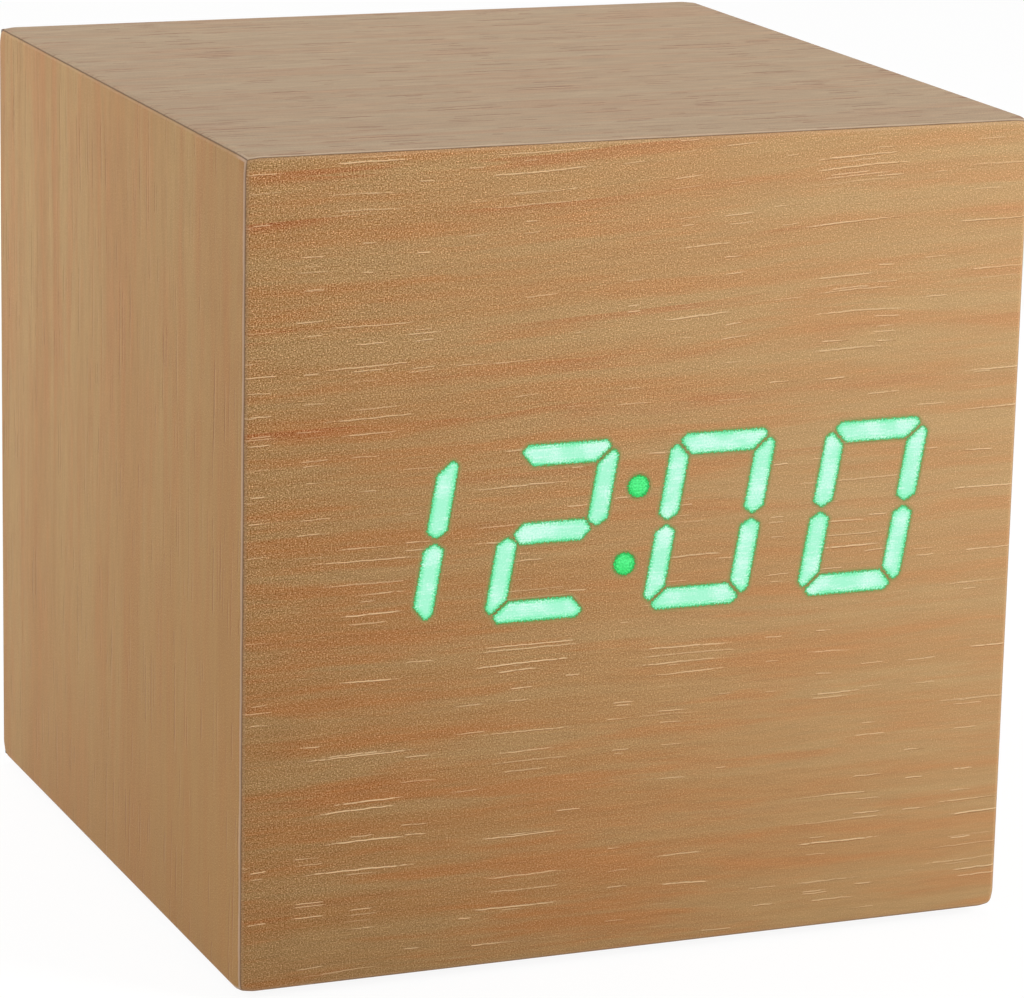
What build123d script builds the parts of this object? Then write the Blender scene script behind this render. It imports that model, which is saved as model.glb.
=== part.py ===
from build123d import *

import math
import os

# A cube-shaped desk clock: a mitred fibreboard box faced with thin wood veneer, with a lit
# four-digit display behind the front face and a black plastic cover in the back.
# Millimetres. X runs to the right seen from the front, Y runs to the back, Z runs up.
# Every place below is measured from the middle of the case. The last step lifts the whole
# clock so that the origin lies on the surface it stands on, under the middle of the case.

# Case. Its depth is chosen; its width and height follow from what has to fit inside.
case_depth = 68.0
lead_lane_width = 2.9
button_row_height = 16.1
board_thickness = 4.6
veneer_thickness = 0.4
edge_radius = 0.5
mitre_gap = 0.03
corner_block_size = 6.0
corner_block_length = 14.0
foot_height = 0.8
foot_radius = 4.0
foot_edge_radius = 0.25
foot_inset = 9.0

# Lit digits
digit_height = 14.6
digit_width = 9.36
digit_pitch = 13.85
digit_slant = 9.6
segment_width = 1.75
segment_chamfer = 0.55
segment_joint = 0.24
waist_joint = 0.22
waist_rise = 0.6
bar_inset = 0.47
bar_point = 0.72
segment_rounding = 0.22
colon_dot_radius = 0.92
colon_dot_offset = 3.2
display_x = -0.8
display_z = 2.3

# Display block and main board
reflector_margin = 1.0
reflector_clearance = 0.1
guide_clearance = 0.04
led_length = 1.6
led_width = 0.8
led_height = 0.7
led_air_gap = 0.1
pcb_thickness = 1.6
main_board_overlap = 0.21
main_board_side_gap = 0.3
main_board_edge_margin = 0.9
main_screw_margin = 2.2
part_gap = 0.75
row_gap = 1.35
plug_row_gap = 2.45
screw_head_gap = 0.3

# Parts soldered to the main board
controller_length = 17.9
controller_width = 7.5
controller_height = 2.3
controller_leads_per_side = 14
controller_drop = 1.0
clock_chip_length = 4.9
clock_chip_width = 3.9
clock_chip_height = 1.5
clock_chip_leads_per_side = 4
lead_pitch = 1.27
lead_width = 0.42
lead_thickness = 0.22
lead_reach = 1.3
lead_foot = 0.7
crystal_radius = 1.0
crystal_edge_radius = 0.25
crystal_length = 6.0
capacitor_radius = 2.5
capacitor_edge_radius = 0.5
capacitor_count = 2
capacitor_length = 7.0
capacitor_spacing = 5.6
transistor_length = 2.9
transistor_width = 1.6
transistor_height = 1.1
transistor_count = 5
transistor_spacing = 4.4
transistor_margin = 1.4
resistor_length = 2.0
resistor_width = 1.25
resistor_height = 0.5
resistor_count = 8
resistor_spacing = 2.4
buzzer_radius = 5.0
buzzer_height = 7.5
buzzer_hole_radius = 1.0
buzzer_edge_radius = 0.5
backup_cell_radius = 10.0
backup_cell_thickness = 3.2
holder_wall = 1.0
holder_floor = 0.8
holder_rim_height = 2.6
holder_notch_width = 6.6
cell_fit_gap = 0.15
thermistor_radius = 1.1
thermistor_stalk_radius = 0.3
thermistor_stalk_length = 3.0
thermistor_inset = 2.6

# Rear cover
cover_recess = 1.0
cover_thickness = 2.0
cover_clearance = 0.2
cover_corner_radius = 1.0
tray_wall = 1.2
tray_clearance = 0.4
rib_height = 2.5
rib_thickness = 0.9
post_radius = 2.2
sound_hole_radius = 0.6
thumb_scoop_radius = 6.0
thumb_scoop_depth = 0.9
thumb_scoop_reach = 3.0

# AAA cells and their contacts
cell_radius = 5.25
cell_body_length = 43.3
cell_nub_radius = 1.9
cell_nub_length = 1.2
cell_count = 3
cell_gap = 0.5
cell_side_gap = 0.3
cell_floor_gap = 0.2
cell_door_gap = 0.3
sleeve_thickness = 0.1
sleeve_end_margin = 0.4
sleeve_lip_inset = 0.9
contact_thickness = 0.3
contact_height = 8.0
contact_width = 8.4
dimple_radius = 1.4
dimple_height = 0.5
tag_width = 2.0
spring_length = 4.2
spring_wire = 0.5
spring_base_radius = 3.4
spring_tip_radius = 2.2
spring_turns = 3
spring_seat_gap = 0.02

# Battery door
door_thickness = 1.6
door_overlap = 0.8
door_gap = 0.3
door_seat_gap = 0.1
door_tab_width = 5.0
door_tab_inset = 10.7
door_tab_thickness = 1.2
door_tab_reach = 1.6
door_tab_clearance = 0.2
door_tab_leg = 1.2
door_tab_swing = 1.4
tongue_width = 11.0
tongue_length = 7.0
tongue_slot = 0.7
grip_rib_count = 3
grip_rib_pitch = 1.5
grip_rib_width = 0.6
grip_rib_height = 0.3

# Buttons, switches, socket and microphone on the button board
button_pitch_gap = 2.8
button_radius = 2.5
button_gap = 0.2
button_stand_out = 0.6
button_flange_radius = 3.1
button_flange_thickness = 1.2
button_flange_gap = 0.1
button_travel = 0.5
button_edge_radius = 0.3
mark_height = 0.15
mark_size = 1.1
set_mark_length = 2.4
set_mark_width = 0.6
switch_size = 6.0
switch_height = 3.5
switch_edge_radius = 0.2
plunger_radius = 1.7
plunger_gap = 0.05
plunger_root = 1.2
board_standoff = 9.0
button_board_margin = 1.4
button_board_side_gap = 0.5
post_gap = 1.1
boot_gap = 0.3
socket_gap = 0.6
socket_margin = 0.2
socket_body = 7.6
socket_nose_radius = 3.0
socket_nose_gap = 0.15
socket_nose_recess = 0.4
socket_bore_radius = 1.85
socket_floor = 1.2
socket_pin_radius = 0.65
socket_pin_edge_radius = 0.3
socket_pin_recess = 1.6
microphone_radius = 2.0
microphone_height = 2.6
microphone_edge_radius = 0.3
microphone_margin = 0.05
boot_wall = 0.6
boot_bore_radius = 0.8
boot_seat_gap = 0.1

# Screws
cover_screw_radius = 1.1
cover_screw_length = 10.0
cover_screw_head_radius = 2.1
cover_screw_head_height = 1.2
small_screw_radius = 0.9
small_screw_length = 4.4
small_screw_head_radius = 1.7
small_screw_head_height = 1.1
screw_clearance = 0.03
screw_hole_clearance = 0.2
screw_tip_length = 1.0
cross_slot_width = 0.5
cross_slot_depth = 0.6

# Wires
lead_wire_radius = 0.6
lead_wire_bend = 3.0
lead_wire_rise = 6.0
ribbon_width = 8.0
ribbon_thickness = 0.9
ribbon_bend = 4.0
plug_housing_depth = 5.0
plug_housing_height = 4.0
battery_plug_width = 5.4
battery_plug_pitch = 2.5
ribbon_plug_width = 10.0
ribbon_plug_gap = 3.2

# One overrun serves every cut that has to pass right through.
overrun = 1.0

# What follows from the sizes above: the battery tray
cell_length = cell_body_length + cell_nub_length
cell_pitch = 2 * cell_radius + cell_gap
bay_length = cell_length + spring_length + 2 * contact_thickness + dimple_height
bay_height = (cell_count - 1) * cell_pitch + 2 * cell_radius + 2 * cell_side_gap
tray_height = bay_height + 2 * tray_wall

# The row behind the cover, from left to right: post, three buttons, microphone, power socket
button_names = ("set", "up", "down")
button_spacing = 2 * button_flange_radius + button_pitch_gap
button_row_length = (len(button_names) - 1) * button_spacing + 2 * button_flange_radius
boot_radius = microphone_radius + boot_wall
button_board_width = (
    button_board_margin
    + 2 * post_radius
    + post_gap
    + button_row_length
    + boot_gap
    + 2 * boot_radius
    + socket_gap
    + socket_body
    + socket_margin
)
left_post_x = -button_board_width / 2 + button_board_margin + post_radius
first_button_x = left_post_x + post_radius + post_gap + button_flange_radius
microphone_x = first_button_x - button_flange_radius + button_row_length + boot_gap + boot_radius
socket_x = microphone_x + boot_radius + socket_gap + socket_body / 2
button_board_height = button_row_height - 2 * button_board_margin

# The display block and the main board behind it
reflector_half_width = (
    3 * digit_pitch / 2
    + digit_width / 2
    + digit_height / 2 * math.tan(math.radians(digit_slant))
    + reflector_margin
)
reflector_half_height = digit_height / 2 + reflector_margin
main_board_half_width = reflector_half_width + main_board_overlap

# Case: as wide as the widest row inside, as tall as the tray and the button row together
wall = board_thickness + veneer_thickness
inner_x = max(
    bay_length / 2 + tray_wall + lead_lane_width,
    button_board_width / 2 + button_board_side_gap + corner_block_size,
    abs(display_x) + main_board_half_width + main_board_side_gap,
)
inner_z = (corner_block_size + tray_clearance + tray_height + button_row_height) / 2
case_width = 2 * (inner_x + wall)
case_height = 2 * (inner_z + wall)
front_outer_y = -case_depth / 2
front_veneer_back_y = front_outer_y + veneer_thickness
front_inner_y = front_outer_y + wall
case_back_y = case_depth / 2
boards_back_y = case_back_y - veneer_thickness
cover_outer_y = case_back_y - cover_recess
cover_inner_y = cover_outer_y - cover_thickness
lift = foot_height + case_height / 2

# Places on the main board, counted from the middle of the display, and its cable's plug
holder_radius = backup_cell_radius + cell_fit_gap + holder_wall
holder_x = -main_board_half_width + 2 * main_screw_margin + screw_head_gap + holder_radius
parts_left_x = holder_x + holder_radius + part_gap
controller_x = parts_left_x + controller_length / 2
clock_chip_x = parts_left_x + clock_chip_length / 2
crystal_x = parts_left_x + clock_chip_length + part_gap + crystal_length / 2
capacitor_x = parts_left_x + capacitor_radius
resistor_x = parts_left_x + resistor_width / 2
transistor_x = parts_left_x + transistor_length / 2
resistor_drop = controller_drop + controller_width / 2 + lead_reach + row_gap + resistor_length / 2
clock_chip_drop = resistor_drop + resistor_length / 2 + row_gap + lead_reach + clock_chip_width / 2
capacitor_drop = clock_chip_drop + clock_chip_width / 2 + lead_reach + row_gap + capacitor_radius
plug_rise = controller_width / 2 + lead_reach - controller_drop + plug_row_gap + plug_housing_height / 2
transistor_rise = plug_rise + plug_housing_height / 2 + screw_head_gap + transistor_width / 2
main_screw_rise = reflector_half_height + reflector_clearance + main_screw_margin
main_screw_x = main_board_half_width - main_screw_margin
main_board_above = max(
    transistor_rise + transistor_width / 2 + transistor_margin,
    main_screw_rise + main_screw_margin,
)
main_board_below = max(
    capacitor_drop + capacitor_radius + main_board_edge_margin,
    controller_drop + 2 * holder_radius + main_board_edge_margin,
)
holder_drop = main_board_below - main_board_edge_margin - holder_radius
buzzer_x = main_board_half_width - main_board_edge_margin - buzzer_radius
buzzer_drop = main_board_below - main_board_edge_margin - buzzer_radius
thermistor_x = -main_board_half_width + thermistor_inset
thermistor_drop = main_board_below - thermistor_inset
battery_plug_x = main_board_half_width - 2 * main_screw_margin - screw_head_gap - battery_plug_width / 2
ribbon_plug_x = left_post_x + small_screw_head_radius + ribbon_plug_gap + ribbon_plug_width / 2
main_board_back_y = front_inner_y + pcb_thickness
main_board_top_z = display_z + main_board_above
plug_z = display_z + plug_rise
main_board_bottom_z = display_z - main_board_below

# Depths and heights behind the cover
door_inner_y = cover_outer_y - door_thickness
door_seat_y = door_inner_y - door_seat_gap
cell_y = door_inner_y - cell_door_gap - cell_radius
bay_floor_y = cell_y - cell_radius - cell_floor_gap
tray_back_y = bay_floor_y - tray_wall
tray_bottom_z = -inner_z + corner_block_size + tray_clearance
bay_bottom_z = tray_bottom_z + tray_wall
bay_z = bay_bottom_z + bay_height / 2
bay_top_z = bay_bottom_z + bay_height
tray_top_z = bay_top_z + tray_wall
door_width = bay_length + 2 * door_overlap
door_height = bay_height + 2 * door_overlap
door_bottom_z = bay_bottom_z - door_overlap
door_top_z = bay_top_z + door_overlap
door_tab_x = door_width / 2 - door_tab_inset
lead_lane_x = (bay_length / 2 + tray_wall + inner_x) / 2

button_z = (tray_top_z + inner_z) / 2
button_board_outer_y = cover_inner_y - board_standoff
button_board_inner_y = button_board_outer_y - pcb_thickness
button_outer_y = cover_outer_y + button_stand_out
button_flange_y = cover_inner_y - button_flange_gap
button_back_y = button_flange_y - button_flange_thickness
switch_top_y = button_board_outer_y + switch_height
microphone_z = button_z + button_board_height / 2 - microphone_margin - boot_radius
right_post_z = button_z - button_board_height / 2 + post_radius


def block(x_range, y_range, z_range):
    """A plain box between two limits along each axis."""
    spans = (x_range, y_range, z_range)
    middle = [(low + high) / 2 for low, high in spans]
    sizes = [high - low for low, high in spans]
    return Pos(*middle) * Box(*sizes)


def prism(outline, y_range):
    """A flat outline, drawn as seen from the front, carried from one Y to another."""
    low, high = y_range
    return Rot(90, 0, 0) * Pos(0, 0, -high) * extrude(outline, high - low)


def rod(x, z, y_range, radius):
    """A round rod along Y."""
    return prism(Pos(x, z) * Circle(radius), y_range)


def rod_along_x(x_range, y, z, radius):
    """A round rod along X."""
    low, high = x_range
    return Pos((low + high) / 2, y, z) * Rot(0, 90, 0) * Cylinder(radius, high - low)


def solids_of(shapes):
    """Several separate solids kept together as one group."""
    return Compound(children=[solid for shape in shapes for solid in shape.solids()])


def mirrored_places(x, z):
    """The same place in all four corners, counted from the lower left."""
    return [(-x, -z), (x, -z), (x, z), (-x, z)]


def screw(x, z, head_y, way, radius, length, head_radius, head_height):
    """A cross-headed screw along Y. Its shank runs from the head in the direction of way."""
    neck_y = head_y + way * head_height
    tip_y = head_y + way * length
    shank_end_y = tip_y - way * screw_tip_length
    outline = [
        (0, head_y),
        (head_radius, head_y),
        (radius, neck_y),
        (radius, shank_end_y),
        (0, tip_y),
    ]
    body = revolve(make_face(Polyline(*outline, close=True)), Axis.Y)
    slot_range = sorted((head_y - way * overrun, head_y + way * cross_slot_depth))
    arm = head_radius + radius
    across = Rectangle(arm, cross_slot_width)
    upright = Rectangle(cross_slot_width, arm)
    return Pos(x, 0, z) * (body - prism(across + upright, slot_range))


# Case: five mitred boards, each with its own veneer, and a band over their back ends


def side_slab(across, height, outer_depth, inner_depth):
    """A layer of the top board between two depths, with mitred sides and front end."""
    sections = []
    for depth in (outer_depth, inner_depth):
        half = across / 2 - depth - mitre_gap
        front = front_outer_y + depth + mitre_gap
        rectangle = Rectangle(2 * half, boards_back_y - front)
        plane = Plane.XY.offset(height / 2 - depth)
        sections.append(plane * Pos(0, (front + boards_back_y) / 2) * rectangle)
    return loft(sections, ruled=True)


def front_slab(outer_depth, inner_depth):
    """A layer of the front board between two depths, mitred all round."""
    sections = []
    for depth in (outer_depth, inner_depth):
        inset = 2 * depth + 2 * mitre_gap
        rectangle = Rectangle(case_width - inset, case_height - inset)
        sections.append(Plane.XY.offset(case_depth / 2 - depth) * rectangle)
    return Rot(90, 0, 0) * loft(sections, ruled=True)


def back_band_strip(across, height):
    """The strip of veneer over the back end of the top board, mitred at both ends."""
    outer = across / 2 - mitre_gap
    top = height / 2
    outline = [(-outer, top), (outer, top), (outer - wall, top - wall), (wall - outer, top - wall)]
    depth = (boards_back_y + mitre_gap, case_back_y)
    return prism(make_face(Polyline(*outline, close=True)), depth)


# The four sides in order, a quarter turn apart
side_names = ("top", "right", "bottom", "left")


def side_spans(side):
    """Width across the board and the case's size square to it, for one side."""
    upright = side in ("left", "right")
    return (case_height, case_width) if upright else (case_width, case_height)


def make_case():
    """Boards and veneers by name."""
    rounded = fillet(Box(case_width, case_depth, case_height).edges(), edge_radius)
    made = {}
    strips = []
    for n, side in enumerate(side_names):
        spans = side_spans(side)
        place = Rot(0, 90 * n, 0)
        made[side + "_veneer"] = place * side_slab(*spans, 0, veneer_thickness) & rounded
        made[side + "_board"] = place * side_slab(*spans, veneer_thickness, wall)
        strips.append(place * back_band_strip(*spans) & rounded)
    made["rear_edge_band"] = solids_of(strips)

    window = Pos(display_x, display_z) * Rectangle(
        2 * (reflector_half_width + reflector_clearance),
        2 * (reflector_half_height + reflector_clearance),
    )
    front_core = front_slab(veneer_thickness, wall)
    front_core -= prism(window, (front_outer_y, front_inner_y + overrun))
    for x, z in main_screw_places():
        pilot_y = (screw_point_y(), front_inner_y + overrun)
        front_core -= rod(x, z, pilot_y, small_screw_radius + screw_clearance)
    made["front_board"] = front_core
    windows = offset(lit_outlines(), guide_clearance)
    front_skin = front_slab(0, veneer_thickness) & rounded
    made["front_veneer"] = front_skin - prism(windows, (front_outer_y - overrun, front_inner_y))
    return made


def make_corner_blocks():
    """Four wooden blocks glued into the back corners, which take the cover's screws."""
    half = corner_block_size / 2
    back_y = cover_inner_y
    front_y = back_y - corner_block_length
    blocks = []
    for x, z in mirrored_places(inner_x - half, inner_z - half):
        wood = block((x - half, x + half), (front_y, back_y), (z - half, z + half))
        pilot_y = (cover_outer_y - cover_screw_length, back_y + overrun)
        blocks.append(wood - rod(x, z, pilot_y, cover_screw_radius + screw_clearance))
    return solids_of(blocks)


def make_foot_pads():
    """Four soft round pads under the base."""
    under = -case_height / 2
    reach_x = case_width / 2 - foot_inset
    reach_y = case_depth / 2 - foot_inset
    middle = under - foot_height / 2
    pad = Cylinder(foot_radius, foot_height)
    pad = fillet(pad.edges().filter_by(GeomType.CIRCLE).sort_by(Axis.Z)[0], foot_edge_radius)
    return solids_of([Pos(x, y, middle) * pad for x, y in mirrored_places(reach_x, reach_y)])


# Display: slanted seven-segment digits cast in the cells of a white reflector block


def slanted(points):
    """Leans an upright outline to the right by the digits' slant."""
    lean = math.tan(math.radians(digit_slant))
    return [(x + z * lean, z) for x, z in points]


def segment_points():
    """The outline of each segment about the digit's middle, before it is slanted."""
    w = digit_width / 2
    h = digit_height / 2
    t = segment_width
    cut = segment_chamfer
    joint = segment_joint
    top = [
        (-w + 2 * cut + joint, h),
        (w - 2 * cut - joint, h),
        (w - cut - joint, h - cut),
        (w - t - joint, h - t),
        (-w + t + joint, h - t),
        (-w + cut + joint, h - cut),
    ]
    upper_left = [
        (-w, h - 2 * cut - joint),
        (-w + cut, h - cut - joint),
        (-w + t, h - t - joint),
        (-w + t, waist_joint + waist_rise),
        (-w + t / 2, waist_joint),
        (-w, waist_joint + waist_rise),
    ]
    tip = w - t / 2 - bar_inset
    middle = [
        (-tip, 0),
        (-tip + bar_point, t / 2),
        (tip - bar_point, t / 2),
        (tip, 0),
        (tip - bar_point, -t / 2),
        (-tip + bar_point, -t / 2),
    ]
    return {
        "a": top,
        "b": [(-x, z) for x, z in upper_left],
        "c": [(-x, -z) for x, z in upper_left],
        "d": [(x, -z) for x, z in top],
        "e": [(x, -z) for x, z in upper_left],
        "f": upper_left,
        "g": middle,
    }


def segment_outline(digit, letter):
    """One segment's rounded outline on the face, for the digit counted from the left."""
    x = display_x + (digit - (len(lit_letters) - 1) / 2) * digit_pitch
    face = make_face(Polyline(*slanted(segment_points()[letter]), close=True))
    return Pos(x, display_z) * fillet(face.vertices(), segment_rounding)


def colon_outlines():
    """The two round dots between the hours and the minutes."""
    places = slanted([(0, -colon_dot_offset), (0, colon_dot_offset)])
    return [Pos(display_x + x, display_z + z) * Circle(colon_dot_radius) for x, z in places]


# Twelve o'clock: which segments of each digit are lit
lit_letters = ("bc", "abged", "abcdef", "abcdef")
digit_names = ("hour_tens", "hour_units", "minute_tens", "minute_units")


def digit_outlines(digit, lit):
    """The lit, or the unlit, segments of one digit."""
    letters = [s for s in "abcdefg" if (s in lit_letters[digit]) == lit]
    return [segment_outline(digit, s) for s in letters]


def lit_outlines():
    """All lit shapes as one sketch."""
    shapes = colon_outlines()
    for digit in range(len(lit_letters)):
        shapes += digit_outlines(digit, True)
    return Sketch() + shapes


def unlit_outlines():
    """All unlit shapes, each as its own outline."""
    return [s for digit in range(len(lit_letters)) for s in digit_outlines(digit, False)]


def make_display():
    """Light guides by digit, the reflector block and the light-emitting chips."""
    guide_back_y = front_inner_y - led_height - led_air_gap
    lit_range = (front_outer_y, guide_back_y)
    unlit_range = (front_veneer_back_y, guide_back_y)
    made = {}
    for digit, name in enumerate(digit_names):
        guides = [prism(s, lit_range) for s in digit_outlines(digit, True)]
        made[name + "_light_guides"] = solids_of(guides)
    made["colon_light_guides"] = solids_of([prism(s, lit_range) for s in colon_outlines()])
    made["unlit_light_guides"] = solids_of([prism(s, unlit_range) for s in unlit_outlines()])

    outline = Pos(display_x, display_z) * Rectangle(2 * reflector_half_width, 2 * reflector_half_height)
    cells = offset(Sketch() + [lit_outlines(), *unlit_outlines()], guide_clearance)
    made["reflector_block"] = prism(outline - cells, (front_veneer_back_y, front_inner_y))

    led = Box(led_length, led_height, led_width)
    led_y = front_inner_y - led_height / 2
    places = []
    for digit in range(len(lit_letters)):
        for letter in "abcdefg":
            middle = segment_outline(digit, letter).center()
            turn = 0 if letter in "adg" else 90 - digit_slant
            places.append((middle, turn))
    places += [(dot.center(), 0) for dot in colon_outlines()]
    made["segment_leds"] = solids_of([Pos(m.X, led_y, m.Y) * Rot(0, turn, 0) * led for m, turn in places])
    return made


# Main board and what is soldered to it


def main_screw_places():
    """Two screws above and two below the display window."""
    places = mirrored_places(main_screw_x, main_screw_rise)
    return [(display_x + x, display_z + z) for x, z in places]


def screw_point_y():
    """How far the main board's screws reach into the front board."""
    return main_board_back_y + small_screw_head_height - small_screw_length


def make_main_board():
    """The circuit board that carries the display, screwed to the front board."""
    board = block(
        (display_x - main_board_half_width, display_x + main_board_half_width),
        (front_inner_y, main_board_back_y),
        (main_board_bottom_z, main_board_top_z),
    )
    hole = small_screw_radius + screw_hole_clearance
    for x, z in main_screw_places():
        board -= rod(x, z, (front_inner_y - overrun, main_board_back_y + overrun), hole)
    return board


def make_main_board_screws():
    """Four small screws from the back of the main board into the front board."""
    head_y = main_board_back_y + small_screw_head_height
    sizes = (small_screw_radius, small_screw_length, small_screw_head_radius, small_screw_head_height)
    return solids_of([screw(x, z, head_y, -1, *sizes) for x, z in main_screw_places()])


def chip(length, width, height, x, z):
    """A moulded chip body lying on the back of the main board, just above it."""
    base_y = main_board_back_y + lead_thickness
    body = block(
        (x - length / 2, x + length / 2),
        (base_y, base_y + height),
        (z - width / 2, z + width / 2),
    )
    return chamfer(body.edges().group_by(Axis.Y)[-1], lead_thickness)


def chip_leads(length, width, height, x, z, per_side):
    """Two rows of bent leads from a chip's long sides down to the board."""
    board_y = main_board_back_y
    knee_y = board_y + height / 2
    shape = [
        (0, knee_y),
        (lead_reach - lead_foot, knee_y),
        (lead_reach - lead_foot, board_y),
        (lead_reach, board_y),
        (lead_reach, board_y + lead_thickness),
        (lead_reach - lead_foot + lead_thickness, board_y + lead_thickness),
        (lead_reach - lead_foot + lead_thickness, knee_y + lead_thickness),
        (0, knee_y + lead_thickness),
    ]
    leads = []
    first = -(per_side - 1) / 2 * lead_pitch
    for side in (-1, 1):
        points = [(0, y, side * (width / 2 + out)) for out, y in shape]
        face = make_face(Polyline(*points, close=True))
        lead = extrude(face, lead_width / 2, both=True)
        for n in range(per_side):
            leads.append(Pos(x + first + n * lead_pitch, 0, z) * lead)
    return leads


def make_board_parts():
    """Chips, crystal, capacitors, transistors, resistors, buzzer and sensor."""
    y0 = main_board_back_y
    made = {}
    controller_z = display_z - controller_drop
    place = (display_x + controller_x, controller_z)
    controller = (controller_length, controller_width, controller_height, *place)
    clock_chip_z = display_z - clock_chip_drop
    place = (display_x + clock_chip_x, clock_chip_z)
    clock_chip = (clock_chip_length, clock_chip_width, clock_chip_height, *place)
    made["controller_chip"] = chip(*controller)
    made["clock_chip"] = chip(*clock_chip)
    leads = chip_leads(*controller, controller_leads_per_side)
    leads += chip_leads(*clock_chip, clock_chip_leads_per_side)
    made["chip_leads"] = solids_of(leads)

    middle = display_x + crystal_x
    ends = (middle - crystal_length / 2, middle + crystal_length / 2)
    can = rod_along_x(ends, y0 + crystal_radius, clock_chip_z, crystal_radius)
    made["crystal_can"] = fillet(can.edges(), crystal_edge_radius)

    cans = []
    for n in range(capacitor_count):
        x = display_x + capacitor_x + n * capacitor_spacing
        z = display_z - capacitor_drop
        body = rod(x, z, (y0, y0 + capacitor_length), capacitor_radius)
        cans.append(fillet(body.edges().group_by(Axis.Y)[-1], capacitor_edge_radius))
    made["smoothing_capacitors"] = solids_of(cans)

    row_z = display_z + transistor_rise
    transistors = []
    for n in range(transistor_count):
        x = display_x + transistor_x + n * transistor_spacing
        transistors.append(
            block(
                (x - transistor_length / 2, x + transistor_length / 2),
                (y0, y0 + transistor_height),
                (row_z - transistor_width / 2, row_z + transistor_width / 2),
            )
        )
    made["driver_transistors"] = solids_of(transistors)

    resistors = []
    row_z = display_z - resistor_drop
    for n in range(resistor_count):
        x = display_x + resistor_x + n * resistor_spacing
        resistors.append(
            block(
                (x - resistor_width / 2, x + resistor_width / 2),
                (y0, y0 + resistor_height),
                (row_z - resistor_length / 2, row_z + resistor_length / 2),
            )
        )
    made["chip_resistors"] = solids_of(resistors)

    x = display_x + buzzer_x
    buzzer_z = display_z - buzzer_drop
    buzzer = rod(x, buzzer_z, (y0, y0 + buzzer_height), buzzer_radius)
    buzzer = fillet(buzzer.edges().group_by(Axis.Y)[-1], buzzer_edge_radius)
    mouth = (y0 + buzzer_height / 2, y0 + buzzer_height + overrun)
    made["alarm_buzzer"] = buzzer - rod(x, buzzer_z, mouth, buzzer_hole_radius)

    sensor_z = display_z - thermistor_drop
    stalk_end = y0 + thermistor_stalk_length
    x = display_x + thermistor_x
    stalks = [
        rod(x + side * thermistor_radius / 2, sensor_z, (y0, stalk_end), thermistor_stalk_radius)
        for side in (-1, 1)
    ]
    bead = Pos(x, stalk_end + thermistor_radius / 2, sensor_z) * Sphere(thermistor_radius)
    made["thermistor"] = bead + stalks
    return made


def make_backup_cell():
    """A coin cell that keeps the time, and its open round holder."""
    y0 = main_board_back_y
    x = display_x + holder_x
    z = display_z - holder_drop
    floor_y = y0 + holder_floor
    rim_y = floor_y + holder_rim_height
    holder = rod(x, z, (y0, rim_y), holder_radius)
    holder -= rod(x, z, (floor_y, rim_y + overrun), backup_cell_radius + cell_fit_gap)
    notch = (x - holder_notch_width / 2, x + holder_notch_width / 2)
    holder -= block(notch, (floor_y, rim_y + overrun), (z, z + holder_radius + overrun))
    cell = rod(x, z, (floor_y, floor_y + backup_cell_thickness), backup_cell_radius)
    return {
        "backup_cell_holder": holder,
        "backup_cell": fillet(cell.edges().group_by(Axis.Y)[-1], cell_fit_gap),
    }


# Rear cover with its battery tray, and the door over it


def cell_places():
    """Height of each cell, and whether its positive end points left."""
    return [(bay_z + (n - (cell_count - 1) / 2) * cell_pitch, n % 2 == 0) for n in range(cell_count)]


def door_outline(margin):
    """The door's rectangle, grown by a margin all round."""
    return Pos(0, bay_z) * Rectangle(door_width + 2 * margin, door_height + 2 * margin)


def button_places():
    """Where each button stands along the row."""
    return {name: first_button_x + n * button_spacing for n, name in enumerate(button_names)}


def board_posts():
    """The two posts that hold the button board."""
    return [(left_post_x, button_z), (microphone_x, right_post_z)]


def tag_slot(side):
    """Height of the end wall slot that a lead's solder tag passes through, on one end."""
    return cell_places()[0][0] if side < 0 else cell_places()[-1][0]


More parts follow.
